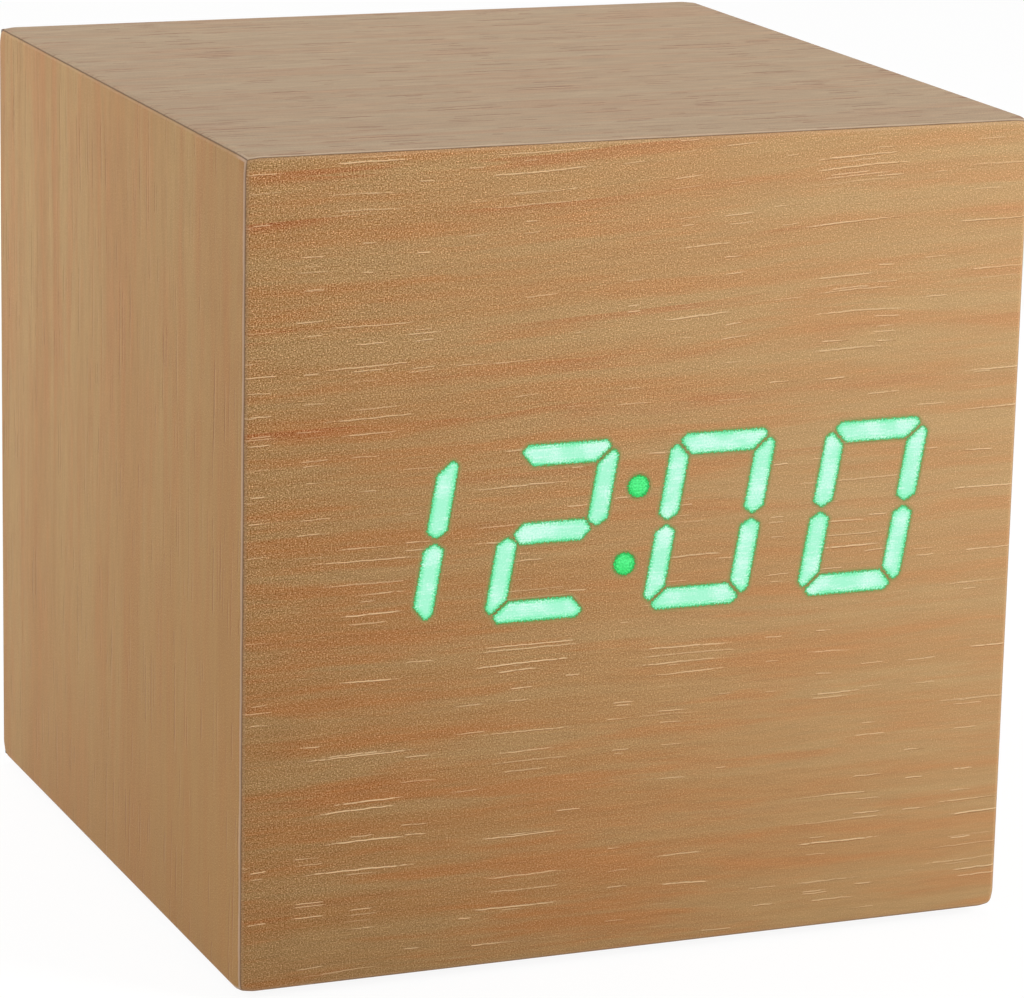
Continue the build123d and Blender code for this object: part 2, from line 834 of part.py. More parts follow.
def make_rear_cover():
    """The black cover: a plate with a battery tray, posts and holes, moulded in one."""
    plate = RectangleRounded(
        2 * (inner_x - cover_clearance),
        2 * (inner_z - cover_clearance),
        cover_corner_radius,
    )
    cover = prism(plate, (cover_inner_y, cover_outer_y))
    tray_half = bay_length / 2 + tray_wall
    cover += block((-tray_half, tray_half), (tray_back_y, cover_inner_y), (tray_bottom_z, tray_top_z))
    for x, z in board_posts():
        cover += rod(x, z, (button_board_outer_y, cover_inner_y), post_radius)

    cover -= prism(door_outline(door_gap), (door_seat_y, cover_outer_y + overrun))
    bay_half = bay_length / 2
    cover -= block((-bay_half, bay_half), (bay_floor_y, cover_outer_y), (bay_bottom_z, bay_top_z))
    places = [z for z, _ in cell_places()]
    for low, high in zip(places, places[1:]):
        middle = (low + high) / 2
        cover += block(
            (-cell_body_length / 2, cell_body_length / 2),
            (bay_floor_y, bay_floor_y + rib_height),
            (middle - rib_thickness / 2, middle + rib_thickness / 2),
        )

    notch_half = door_tab_width / 2 + door_gap
    notch_y = door_inner_y - door_tab_clearance - door_tab_thickness - door_tab_swing
    for x in (-door_tab_x, door_tab_x):
        cover -= block(
            (x - notch_half, x + notch_half),
            (notch_y, door_inner_y),
            (door_bottom_z - door_tab_reach - door_tab_clearance, bay_bottom_z + overrun),
        )
    slot_half = tag_width / 2 + cell_fit_gap
    for side in (-1, 1):
        ends = sorted((side * (bay_half - overrun), side * (tray_half + overrun)))
        z = tag_slot(side)
        tag_y = cell_y - cell_radius / 2
        cover -= block(ends, (tag_y - slot_half, tag_y + slot_half), (z - slot_half, z + slot_half))

    scoop_y = cover_outer_y - thumb_scoop_depth
    reach = Rectangle(2 * thumb_scoop_radius, thumb_scoop_reach)
    scoop = Pos(0, door_top_z) * Circle(thumb_scoop_radius)
    scoop &= Pos(0, door_top_z + thumb_scoop_reach / 2) * reach
    cover -= prism(scoop, (scoop_y, cover_outer_y + overrun))

    through = (cover_inner_y - overrun, cover_outer_y + overrun)
    for x in button_places().values():
        cover -= rod(x, button_z, through, button_radius + button_gap)
    cover -= rod(socket_x, button_z, through, socket_nose_radius + socket_nose_gap)
    cover -= rod(microphone_x, microphone_z, through, sound_hole_radius)
    for x, z in board_posts():
        pilot = (button_board_outer_y - overrun, button_board_outer_y + small_screw_length)
        cover -= rod(x, z, pilot, small_screw_radius + screw_clearance)
    for x, z in cover_screw_places():
        cover -= rod(x, z, through, cover_screw_radius + screw_hole_clearance)
        sink = Cone(
            cover_screw_radius + screw_hole_clearance,
            cover_screw_head_radius + screw_hole_clearance,
            cover_screw_head_height,
        )
        middle_y = cover_outer_y - cover_screw_head_height / 2
        cover -= Pos(x, middle_y, z) * Rot(-90, 0, 0) * sink
    return cover


def cover_screw_places():
    """The middle of each corner block."""
    half = corner_block_size / 2
    return mirrored_places(inner_x - half, inner_z - half)


def make_rear_cover_screws():
    """Four countersunk screws through the cover into the corner blocks."""
    sizes = (cover_screw_radius, cover_screw_length, cover_screw_head_radius, cover_screw_head_height)
    return solids_of([screw(x, z, cover_outer_y, -1, *sizes) for x, z in cover_screw_places()])


def make_battery_door():
    """The door: a plate with a springy thumb tongue above and two hooked tabs below."""
    door = prism(door_outline(0), (door_inner_y, cover_outer_y))
    slot_half = tongue_width / 2 + tongue_slot
    tongue_low = door_top_z - tongue_length
    for side in (-1, 1):
        edges = sorted((side * tongue_width / 2, side * slot_half))
        door -= block(
            edges,
            (door_inner_y - overrun, cover_outer_y + overrun),
            (tongue_low, door_top_z + overrun),
        )
    for n in range(grip_rib_count):
        z = door_top_z - grip_rib_pitch * (n + 1)
        half = tongue_width / 2 - grip_rib_pitch
        top = cover_outer_y + grip_rib_height
        door += block((-half, half), (cover_outer_y, top), (z - grip_rib_width / 2, z + grip_rib_width / 2))

    toe_top_y = door_inner_y - door_tab_clearance
    toe_low_y = toe_top_y - door_tab_thickness
    leg_low_z = door_bottom_z + door_tab_clearance
    for x in (-door_tab_x, door_tab_x):
        width = (x - door_tab_width / 2, x + door_tab_width / 2)
        door += block(width, (toe_low_y, door_inner_y), (leg_low_z, leg_low_z + door_tab_leg))
        door += block(width, (toe_low_y, toe_top_y), (door_bottom_z - door_tab_reach, leg_low_z))
    return door


# Battery cells, contacts and springs


def make_cells():
    """Three cells lying side by side, turned end for end, with their printed sleeves."""
    made = {}
    sleeves = []
    start = -bay_length / 2 + contact_thickness + dimple_height
    for n, (z, nub_left) in enumerate(cell_places()):
        way = -1 if nub_left else 1
        nub_tip = way * (-start)
        shoulder = nub_tip - way * cell_nub_length
        base = nub_tip - way * cell_length
        can = rod_along_x(sorted((shoulder, base)), cell_y, z, cell_radius - sleeve_thickness)
        nub = rod_along_x(sorted((nub_tip, shoulder)), cell_y, z, cell_nub_radius)
        made[f"aaa_cell_{n + 1}"] = can + nub
        ends = sorted((shoulder - way * sleeve_end_margin, base + way * sleeve_end_margin))
        tube = rod_along_x(ends, cell_y, z, cell_radius)
        core = rod_along_x((-bay_length, bay_length), cell_y, z, cell_radius - sleeve_thickness)
        sleeves.append(tube - core)
    made["cell_sleeves"] = solids_of(sleeves)
    return made


def make_contacts():
    """Four sprung-steel plates that join the cells in a row, with dimples at the nubs."""
    heights = [z for z, _ in cell_places()]
    groups = [(-1, heights[:1]), (-1, heights[1:]), (1, heights[:2]), (1, heights[2:])]
    plates = []
    for side, members in groups:
        wall_x = side * bay_length / 2
        face_x = wall_x - side * contact_thickness
        half = contact_width / 2
        z_range = (members[0] - half, members[-1] + half)
        y_range = (cell_y - contact_height / 2, cell_y + contact_height / 2)
        plate = block(sorted((wall_x, face_x)), y_range, z_range)
        for z, nub_left in cell_places():
            is_nub_end = nub_left == (side < 0)
            if z in members and is_nub_end:
                tip_x = face_x - side * dimple_height
                plate += rod_along_x(sorted((face_x, tip_x)), cell_y, z, dimple_radius)
        if len(members) == 1:
            z = members[0]
            tag_y = cell_y - cell_radius / 2
            tag_end = side * (lead_lane_x + lead_wire_radius)
            plate += block(
                sorted((wall_x, tag_end)),
                (tag_y - contact_thickness / 2, tag_y + contact_thickness / 2),
                (z - tag_width / 2, z + tag_width / 2),
            )
        plates.append(plate)
    return solids_of(plates)


def spring_points(per_turn):
    """Places and directions along a cone-shaped coil that rises along X from the plate."""
    rise = spring_length - spring_wire - 2 * spring_seat_gap
    steps = spring_turns * per_turn
    turn = 2 * math.pi * spring_turns
    narrowing = spring_tip_radius - spring_base_radius
    stations = []
    for n in range(steps + 1):
        share = n / steps
        angle = turn * share
        radius = spring_base_radius + narrowing * share
        x = spring_wire / 2 + spring_seat_gap + rise * share
        place = Vector(x, radius * math.cos(angle), radius * math.sin(angle))
        speed = Vector(
            rise,
            narrowing * math.cos(angle) - radius * turn * math.sin(angle),
            narrowing * math.sin(angle) + radius * turn * math.cos(angle),
        )
        stations.append((place, speed.normalized()))
    return stations


def biarc(start, start_way, end, end_way):
    """Two arcs that join two places and leave and arrive in the given directions."""
    reach = end - start
    both = start_way + end_way
    spread = 2 - 2 * start_way.dot(end_way)
    along = reach.dot(both)
    length = (math.sqrt(along**2 + spread * reach.dot(reach)) - along) / spread
    near = start + start_way * length
    far = end - end_way * length
    middle = (near + far) / 2
    first = TangentArc(start, middle, tangent=start_way)
    second = TangentArc(middle, end, tangent=(far - near).normalized())
    return [first, second]


def make_springs():
    """One coiled wire at the flat end of each cell."""
    stations = spring_points(4)
    arcs = []
    for (start, start_way), (end, end_way) in zip(stations, stations[1:]):
        arcs += biarc(start, start_way, end, end_way)
    path = Wire([edge for arc in arcs for edge in arc.edges()])
    place, way = stations[0]
    coil = sweep(Plane(origin=place, z_dir=way) * Circle(spring_wire / 2), path=path)
    springs = []
    for z, nub_left in cell_places():
        wall_x = bay_length / 2 - contact_thickness
        if nub_left:
            springs.append(Pos(wall_x, cell_y, z) * Rot(0, 0, 180) * coil)
        else:
            springs.append(Pos(-wall_x, cell_y, z) * coil)
    print_spring_gap(stations)
    return solids_of(springs)


def print_spring_gap(stations):
    """Prints the least gap between neighbouring turns of a spring."""
    per_turn = (len(stations) - 1) // spring_turns
    pairs = zip(stations, stations[per_turn:])
    least = min((b - a).length for (a, _), (b, _) in pairs)
    print("spring: least gap between turns", round(least - spring_wire, 2))


# Button board: switches, power socket and microphone behind the cover


def make_button(name, x):
    """A round cap with a flange that holds it in, and a raised mark on its face."""
    cap = rod(x, button_z, (button_back_y, button_outer_y), button_radius)
    cap = fillet(cap.edges().group_by(Axis.Y)[-1], button_edge_radius)
    cap += rod(x, button_z, (button_back_y, button_flange_y), button_flange_radius)
    marks = {
        "set": Rectangle(set_mark_length, set_mark_width),
        "up": RegularPolygon(mark_size, 3, rotation=90),
        "down": RegularPolygon(mark_size, 3, rotation=-90),
    }
    mark = Pos(x, button_z) * marks[name]
    return cap + prism(mark, (button_outer_y, button_outer_y + mark_height))


def make_plunger(x):
    """The round stem of a switch, from inside its body up to the back of the button."""
    root_y = switch_top_y - plunger_root
    return rod(x, button_z, (root_y, button_back_y), plunger_radius)


def make_switch_bodies():
    """Three square push switches, each with a well that its plunger sinks into."""
    bodies = []
    half = switch_size / 2
    for x in button_places().values():
        depth = (button_board_outer_y, switch_top_y)
        body = block((x - half, x + half), depth, (button_z - half, button_z + half))
        body = fillet(body.edges().group_by(Axis.Y)[-1], switch_edge_radius)
        well_y = switch_top_y - plunger_root - button_travel - plunger_gap
        well = rod(x, button_z, (well_y, switch_top_y + overrun), plunger_radius + plunger_gap)
        bodies.append(body - well)
    return solids_of(bodies)


def make_button_board():
    """The small board that stands behind the cover on two posts."""
    half_width = button_board_width / 2
    half_height = button_board_height / 2
    board = block(
        (-half_width, half_width),
        (button_board_inner_y, button_board_outer_y),
        (button_z - half_height, button_z + half_height),
    )
    for x, z in board_posts():
        hole = (button_board_inner_y - overrun, button_board_outer_y + overrun)
        board -= rod(x, z, hole, small_screw_radius + screw_hole_clearance)
    return board


def make_button_board_screws():
    """Two small screws from inside into the cover's posts."""
    head_y = button_board_inner_y - small_screw_head_height
    sizes = (small_screw_radius, small_screw_length, small_screw_head_radius, small_screw_head_height)
    return solids_of([screw(x, z, head_y, 1, *sizes) for x, z in board_posts()])


def make_power_socket():
    """A small round low-voltage socket: a moulded body with a bore, and its centre pin."""
    half = socket_body / 2
    nose_y = cover_outer_y - socket_nose_recess
    body = block(
        (socket_x - half, socket_x + half),
        (button_board_outer_y, cover_inner_y),
        (button_z - half, button_z + half),
    )
    body += rod(socket_x, button_z, (cover_inner_y, nose_y), socket_nose_radius)
    floor_y = button_board_outer_y + socket_floor
    body -= rod(socket_x, button_z, (floor_y, nose_y + overrun), socket_bore_radius)
    pin = rod(socket_x, button_z, (floor_y, nose_y - socket_pin_recess), socket_pin_radius)
    pin = fillet(pin.edges().group_by(Axis.Y)[-1], socket_pin_edge_radius)
    return {"power_socket": body, "power_socket_pin": pin}


def make_microphone():
    """The microphone capsule, and the soft boot that joins it to the sound hole."""
    x = microphone_x
    z = microphone_z
    top_y = button_board_outer_y + microphone_height
    capsule = rod(x, z, (button_board_outer_y, top_y), microphone_radius)
    capsule = fillet(capsule.edges().group_by(Axis.Y)[-1], microphone_edge_radius)
    boot_top_y = cover_inner_y - boot_seat_gap
    boot = rod(x, z, (button_board_outer_y + boot_seat_gap, boot_top_y), boot_radius)
    boot -= rod(x, z, (button_board_outer_y, top_y), microphone_radius)
    boot -= rod(x, z, (button_board_outer_y, boot_top_y + overrun), boot_bore_radius)
    return {"microphone": capsule, "microphone_boot": boot}


# Wires inside the case


def make_wire_plugs():
    """The plug housings on the two boards."""
    half_height = plug_housing_height / 2
    on_main_board = (main_board_back_y, main_board_back_y + plug_housing_depth)
    on_button_board = (button_board_inner_y - plug_housing_depth, button_board_inner_y)
    housings = []
    for x, z, width, depth in (
        (display_x + battery_plug_x, plug_z, battery_plug_width, on_main_board),
        (ribbon_plug_x, plug_z, ribbon_plug_width, on_main_board),
        (ribbon_plug_x, button_z, ribbon_plug_width, on_button_board),
    ):
        housings.append(block((x - width / 2, x + width / 2), depth, (z - half_height, z + half_height)))
    return solids_of(housings)


def wire_along(points, radius, bend):
    """A round wire along straight runs joined by arcs."""
    path = FilletPolyline(*points, radius=bend)
    start = Plane(origin=points[0], z_dir=Vector(*points[1]) - Vector(*points[0]))
    return sweep(start * Circle(radius), path=path)


def make_battery_leads():
    """Red and black leads from the end contacts to the plug on the main board."""
    tag_y = cell_y - cell_radius / 2
    plug_y = main_board_back_y + plug_housing_depth
    start_y = tag_y - contact_thickness / 2
    turn_y = tray_back_y - lead_wire_rise
    made = {}
    for name, side, share in (("red", -1, -1), ("black", 1, 1)):
        tag_z = tag_slot(side)
        end_x = display_x + battery_plug_x + share * battery_plug_pitch / 2
        level = turn_y if side < 0 else turn_y - lead_wire_rise
        points = [
            (side * lead_lane_x, start_y, tag_z),
            (side * lead_lane_x, level, tag_z),
            (end_x, level, plug_z),
            (end_x, plug_y, plug_z),
        ]
        made[f"battery_lead_{name}"] = wire_along(points, lead_wire_radius, lead_wire_bend)
    return made


def make_ribbon_cable():
    """The flat cable between the two boards, in an S."""
    start_y = button_board_inner_y - plug_housing_depth
    end_y = main_board_back_y + plug_housing_depth
    middle_y = (start_y + end_y) / 2
    points = [
        (ribbon_plug_x, start_y, button_z),
        (ribbon_plug_x, middle_y, button_z),
        (ribbon_plug_x, middle_y, plug_z),
        (ribbon_plug_x, end_y, plug_z),
    ]
    path = FilletPolyline(*points, radius=ribbon_bend)
    start = Plane(origin=points[0], x_dir=(1, 0, 0), z_dir=(0, -1, 0))
    return sweep(start * Rectangle(ribbon_width, ribbon_thickness), path=path)


def make_all():
    """Every piece by name."""
    made = make_case()
    made["corner_blocks"] = make_corner_blocks()
    made["foot_pads"] = make_foot_pads()
    made.update(make_display())
    made["main_board"] = make_main_board()
    made["main_board_screws"] = make_main_board_screws()
    made.update(make_board_parts())
    made.update(make_backup_cell())
    made["rear_cover"] = make_rear_cover()
    made["rear_cover_screws"] = make_rear_cover_screws()
    made["battery_door"] = make_battery_door()
    made.update(make_cells())
    made["battery_contacts"] = make_contacts()
    made["battery_springs"] = make_springs()
    for name, x in button_places().items():
        made[name + "_button"] = make_button(name, x)
        made[name + "_switch_plunger"] = make_plunger(x)
    made["switch_bodies"] = make_switch_bodies()
    made["button_board"] = make_button_board()
    made["button_board_screws"] = make_button_board_screws()
    made.update(make_power_socket())
    made.update(make_microphone())
    made["wire_plugs"] = make_wire_plugs()
    made.update(make_battery_leads())
    made["ribbon_cable"] = make_ribbon_cable()
    return made


os.makedirs("parts", exist_ok=True)
for name, shape in make_all().items():
    lifted = [Pos(0, 0, lift) * solid for solid in shape.solids()]
    export_step(lifted[0] if len(lifted) == 1 else Compound(children=lifted), f"parts/{name}.step")
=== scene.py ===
# %% [markdown]
# # A wooden cube clock with digits that shine through its face
#
# The clock is a box of fibreboard with thin wood veneer glued on every face. Behind the front,
# green light guides reach the surface and draw the time. The solid model of every part is loaded
# first and stays where it is. This file dresses it: it makes the fine pieces that carry the
# light and the grain, and it gives every piece its finish.

# %% Load the solid model as the frame
import math

import bmesh
import bpy
import numpy as np
from mathutils import Matrix, Vector
from mathutils.geometry import delaunay_2d_cdt


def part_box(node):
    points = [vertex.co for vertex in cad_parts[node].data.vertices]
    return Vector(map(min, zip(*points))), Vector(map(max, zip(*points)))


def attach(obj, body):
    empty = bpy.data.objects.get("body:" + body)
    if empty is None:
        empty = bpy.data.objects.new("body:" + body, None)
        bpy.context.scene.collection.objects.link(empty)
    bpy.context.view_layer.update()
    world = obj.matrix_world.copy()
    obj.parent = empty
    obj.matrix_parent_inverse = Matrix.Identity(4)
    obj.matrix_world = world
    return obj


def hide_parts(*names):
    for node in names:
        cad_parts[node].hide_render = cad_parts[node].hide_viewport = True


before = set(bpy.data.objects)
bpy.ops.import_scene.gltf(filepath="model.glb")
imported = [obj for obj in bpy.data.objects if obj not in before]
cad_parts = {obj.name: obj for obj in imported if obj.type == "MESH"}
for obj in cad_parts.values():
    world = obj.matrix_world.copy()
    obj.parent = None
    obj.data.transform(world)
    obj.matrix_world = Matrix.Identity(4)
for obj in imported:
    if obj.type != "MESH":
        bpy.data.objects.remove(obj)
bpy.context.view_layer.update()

# %% [markdown]
# Everything below is worked out in millimetres from the middle of the case, as a cabinet maker
# would mark it out, and put into metres at the very end. The sheet on the front tells where the
# middle is. The case is a cube that stands over the origin, so the distance from the origin to
# the front is half its width.

# %% Read the case's own sizes from its front panel
MM = 0.001
low, high = (np.array(corner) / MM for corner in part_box("front_veneer"))
case_middle = np.array([(low[0] + high[0]) / 2, 0.0, (low[2] + high[2]) / 2])
front_y = low[1]
case_half = round(-front_y, 2)
veneer_thickness = 0.4
edge_radius = 0.5
print("case half width", case_half, "front at", round(front_y, 2), "middle", case_middle)

# %% [markdown]
# A finished piece is one mesh whose object sits at the origin, so that its pattern stays put.
# Every piece rides on the part of the clock that carries it, and hides the solid that it stands
# for.

# %% Put a piece's points and faces into a mesh
def in_scene(name, data):
    """A new object in the scene."""
    made = bpy.data.objects.new(name, data)
    bpy.context.scene.collection.objects.link(made)
    return made


def make_piece(name, points, faces, body, stands_for):
    """A mesh object from an array of points in millimetres about the case's middle."""
    mesh = bpy.data.meshes.new(name)
    mesh.from_pydata(((points + case_middle) * MM).tolist(), [], faces.tolist())
    mesh.polygons.foreach_set("use_smooth", np.full(len(mesh.polygons), True))
    mesh.set_sharp_from_angle(angle=math.radians(30))
    piece = in_scene(name, mesh)
    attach(piece, body)
    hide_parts(stands_for)
    return piece


def keep_number(piece, name, numbers):
    """Writes one number per point on the mesh, for a finish to read."""
    field = piece.data.attributes.new(name, "FLOAT", "POINT")
    field.data.foreach_set("value", numbers)


# %% [markdown]
# ## The shapes of the digits
# A seven-segment digit is made of bars with cut ends. All four digits lean to the right. Each bar
# is a short list of corners, mirrored for its neighbours, then leaned, rounded and divided into
# small steps. The sizes are those of the solid light guides, except that the bars and dots are a
# little larger and the joints between bars narrower, because light spreads in the skin of the
# wood.

# %% Corners of the seven bars of one digit
digit_height, digit_width, digit_pitch, digit_slant = 14.6, 9.36, 13.85, 9.6
bar_width, bar_cut, bar_joint, bar_rounding = 1.78, 0.55, 0.16, 0.3
waist_joint, waist_rise, bar_inset, bar_point = 0.14, 0.6, 0.38, 0.72
dot_radius, dot_offset = 0.97, 3.2
display_x, display_z = -0.8, 2.3
time_shown = ("bc", "abged", "abcdef", "abcdef")
bar_grow, bar_step, arc_points, dot_steps = 0.08, 0.2, 5, 40


def bar_corners():
    """Corners of bars a to g about the digit's middle, upright."""
    w, h, t = digit_width / 2, digit_height / 2, bar_width
    cut, joint = bar_cut, bar_joint
    top = np.array([
        (-w + 2 * cut + joint, h),
        (w - 2 * cut - joint, h),
        (w - cut - joint, h - cut),
        (w - t - joint, h - t),
        (-w + t + joint, h - t),
        (-w + cut + joint, h - cut),
    ])
    upper_left = np.array([
        (-w, h - 2 * cut - joint),
        (-w + cut, h - cut - joint),
        (-w + t, h - t - joint),
        (-w + t, waist_joint + waist_rise),
        (-w + t / 2, waist_joint),
        (-w, waist_joint + waist_rise),
    ])
    tip = w - t / 2 - bar_inset
    middle = np.array([
        (-tip, 0),
        (-tip + bar_point, t / 2),
        (tip - bar_point, t / 2),
        (tip, 0),
        (tip - bar_point, -t / 2),
        (-tip + bar_point, -t / 2),
    ])
    across, down, both = np.array([-1, 1]), np.array([1, -1]), np.array([-1, -1])
    return {
        "a": top,
        "b": upper_left * across,
        "c": upper_left * both,
        "d": top * down,
        "e": upper_left * down,
        "f": upper_left,
        "g": middle,
    }


# %% [markdown]
# A rounded corner is an arc that touches both sides. Its centre lies on the line that halves the
# corner. A wider outline, for the opening round a bar, keeps the centres and grows the arcs.

# %% Round, grow and divide an outline
def rounded(corners, radius, grow):
    """Each corner becomes an arc. Centre = corner + halving direction * radius / sin(half)."""
    back = np.roll(corners, 1, axis=0) - corners
    ahead = np.roll(corners, -1, axis=0) - corners
    back /= np.linalg.norm(back, axis=1)[:, None]
    ahead /= np.linalg.norm(ahead, axis=1)[:, None]
    half = np.arccos(np.clip((back * ahead).sum(axis=1), -1, 1)) / 2
    halving = (back + ahead) / np.linalg.norm(back + ahead, axis=1)[:, None]
    centre = corners + halving * (radius / np.sin(half))[:, None]
    reach = (radius / np.tan(half))[:, None]
    start = corners + back * reach - centre
    end = corners + ahead * reach - centre
    first = np.arctan2(start[:, 1], start[:, 0])
    turn = np.arctan2(end[:, 1], end[:, 0]) - first
    turn = (turn + math.pi) % (2 * math.pi) - math.pi
    angle = first[:, None] + turn[:, None] * np.linspace(0, 1, arc_points)
    arc = np.stack([np.cos(angle), np.sin(angle)], axis=2) * (radius + grow)
    return (centre[:, None, :] + arc).reshape(-1, 2)


def divided(loop, longest):
    """The same closed loop with extra points, so that no step is longer than asked."""
    ahead = np.roll(loop, -1, axis=0) - loop
    pieces = np.ceil(np.linalg.norm(ahead, axis=1) / longest).astype(int).clip(1)
    which = np.repeat(np.arange(len(loop)), pieces)
    rank = np.arange(len(which)) - np.repeat(np.cumsum(pieces) - pieces, pieces)
    return loop[which] + ahead[which] * (rank / pieces[which])[:, None]


def lit_loops(grow, longest):
    """Closed outlines of every lit shape by the piece it belongs to, in face coordinates."""
    lean = math.tan(math.radians(digit_slant))
    names = ("hour_tens", "hour_units", "minute_tens", "minute_units")
    corners = bar_corners()
    loops = {}
    for n, (name, letters) in enumerate(zip(names, time_shown)):
        middle = np.array([display_x + (n - (len(names) - 1) / 2) * digit_pitch, display_z])
        loops[name] = []
        for letter in letters:
            leaned = corners[letter] + np.outer(corners[letter][:, 1] * lean, [1, 0])
            loops[name].append(divided(rounded(leaned, bar_rounding, grow) + middle, longest))
    angle = np.linspace(0, 2 * math.pi, dot_steps, endpoint=False)
    ring = np.stack([np.cos(angle), np.sin(angle)], axis=1) * (dot_radius + grow)
    offset = np.array([dot_offset * lean, dot_offset])
    loops["colon"] = [ring + (display_x, display_z) + side * offset for side in (-1, 1)]
    return loops


def all_loops(grow, longest):
    """The outlines of every lit shape in one list."""
    return [loop for group in lit_loops(grow, longest).values() for loop in group]


bars = lit_loops(bar_grow, bar_step)
print("lit shapes:", {name: len(loops) for name, loops in bars.items()})

# %% [markdown]
# Two questions come up for every point of the face: how far is it from the nearest lit edge, and
# is it inside an outline? The green rim of a bar and the painted green glow in the wood beside it
# both follow from the distance.

# %% Distance to an outline, and whether a point is inside it
def distance_to(points, loop):
    """Shortest way from each point to the outline: to the nearest point of each straight step."""
    step = np.roll(loop, -1, axis=0) - loop
    away = points[:, None, :] - loop
    share = ((away * step).sum(axis=2) / (step**2).sum(axis=1)).clip(0, 1)
    return np.linalg.norm(away - share[:, :, None] * step, axis=2).min(axis=1)


def inside(points, loop):
    """True within a bulging outline: the point is on the same side of every step."""
    step = np.roll(loop, -1, axis=0) - loop
    away = points[:, None, :] - loop
    side = step[:, 0] * away[:, :, 1] - step[:, 1] * away[:, :, 0]
    return (side > 0).all(axis=1) | (side < 0).all(axis=1)


def triangulated(points, loops):
    """Triangles over all points, with every outline kept as edges. Points of loops come first."""
    starts = np.cumsum([0] + [len(loop) for loop in loops])
    edges = [np.zeros((0, 2), int)]
    for start, loop in zip(starts, loops):
        here = start + np.arange(len(loop))
        edges.append(np.stack([here, np.roll(here, -1)], axis=1))
    every = np.concatenate([*loops, points])
    found = delaunay_2d_cdt(every, np.concatenate(edges).tolist(), [], 0, 1e-7, False)
    flat = np.array([point[:] for point in found[0]])
    faces = np.array(found[2])
    first, second, third = (flat[faces[:, n]] for n in range(3))
    area = np.cross(second - first, third - first)
    faces[area > 0] = faces[area > 0][:, ::-1]
    return flat, faces[np.abs(area) > 1e-9]


def closed_shell(front, back, faces):
    """A front layer, the same layer behind it turned round, and walls along every open edge."""
    count = len(front)
    steps = np.concatenate([faces[:, [0, 1]], faces[:, [1, 2]], faces[:, [2, 0]]])
    key = np.sort(steps, axis=1) @ np.array([count, 1])
    _, first, seen = np.unique(key, return_index=True, return_counts=True)
    rim = steps[first[seen == 1]]
    walls = np.concatenate([
        np.stack([rim[:, 1], rim[:, 0], rim[:, 0] + count], axis=1),
        np.stack([rim[:, 1], rim[:, 0] + count, rim[:, 1] + count], axis=1),
    ])
    return np.concatenate([front, back]), np.concatenate([faces, faces[:, ::-1] + count, walls])


def between_rows(rows, count):
    """Triangles between each row of points and the next. A row is a ring of count points."""
    row = np.arange(rows - 1)[:, None] * count
    near, far = row + np.arange(count), row + np.roll(np.arange(count), -1)
    quads = np.stack([near, near + count, far + count, far], axis=2).reshape(-1, 4)
    return np.concatenate([quads[:, [0, 1, 2]], quads[:, [0, 2, 3]]])


def joined(parts):
    """Several (points, faces) as one. Each part's faces count on from the points before it."""
    starts = np.cumsum([0] + [len(points) for points, _ in parts])
    points = np.concatenate([points for points, _ in parts])
    return points, np.concatenate([faces + start for (_, faces), start in zip(parts, starts)])


# %% [markdown]
# ## The light guides
# Each lit bar is a clear plastic rod cast between the face and the light-emitting chips behind
# it. Its front lies level with the wood. A dense, even field of points keeps the distance from
# the edge exact, so the finish can darken a narrow rim.

# %% Build the lit guides of each digit and of the colon
guide_length = 4.2
grid_step = 0.16


def guide(loop):
    """One lit shape: front face at the veneer's surface, back face near the chips. Gives its
    points and faces, and how far each point lies from the edge."""
    lowest, highest = loop.min(axis=0), loop.max(axis=0)
    across = np.arange(lowest[0], highest[0], grid_step)
    upright = np.arange(lowest[1], highest[1], grid_step)
    field = np.stack(np.meshgrid(across, upright), axis=2).reshape(-1, 2)
    field = field[inside(field, loop)]
    field = field[distance_to(field, loop) > grid_step / 3]
    flat, faces = triangulated(field, [loop])
    layers = [np.insert(flat, 1, y, axis=1) for y in (front_y, front_y + guide_length)]
    return closed_shell(*layers, faces), np.tile(distance_to(flat, loop), 2)


guides = {}
for name, loops in bars.items():
    shells, depths = zip(*[guide(loop) for loop in loops])
    points, faces = joined(shells)
    slot = "lit_dot" if name == "colon" else "lit_guide"
    node = name + "_light_guides"
    guides[name] = make_piece("glowing_" + node, points, faces, "clock_case", node)
    keep_number(guides[name], "edge_distance", np.concatenate(depths))
    print(name, "triangles", len(faces))

# %% [markdown]
# ## The sheets of veneer
# Five thin sheets cover the case. Their outer edges are rounded over, and neighbours meet in a
# mitre. The rounding is a piece of a ball swept round the edge: each border point gets a
# direction and lies one radius from an inner box in that direction. A sheet is first laid out
# flat, as marks along its two sides, then wrapped over its face.

# %% Lay out and wrap a sheet
mitre_reach = 0.975
end_reach = 0.2
corner_reach, corner_easing = 1.5, 0.13
flat_half = case_half - edge_radius
even_half = flat_half - 1.0


def spread(longest, last_reach=mitre_reach):
    """Marks along a side: fine over the roundings at both ends, wider between. The marks over a
    rounding are the tangent of the angle turned, so that 1 is the mitre."""
    rim = np.array([0.12, 0.36, 0.6, 0.8, 1.0])
    fine = flat_half - np.array([0.75, 0.5, 0.25])
    even = np.linspace(-even_half, even_half, int(2 * flat_half / longest) + 1)
    first, last = -flat_half - rim[::-1] * mitre_reach, flat_half + rim * last_reach
    return np.concatenate([first, [-flat_half], -fine[::-1], even, fine, [flat_half], last])


def eased(points):
    """Sanded corners: a point moves towards the middle by the product of how close it comes to
    each of the three faces, so only the eight corners change."""
    near = ((np.abs(points) - case_half + corner_reach) / corner_reach).clip(0, 1)
    share = (near**2 * (3 - 2 * near)).prod(axis=1)
    return points - np.sign(points) * corner_easing * share[:, None]


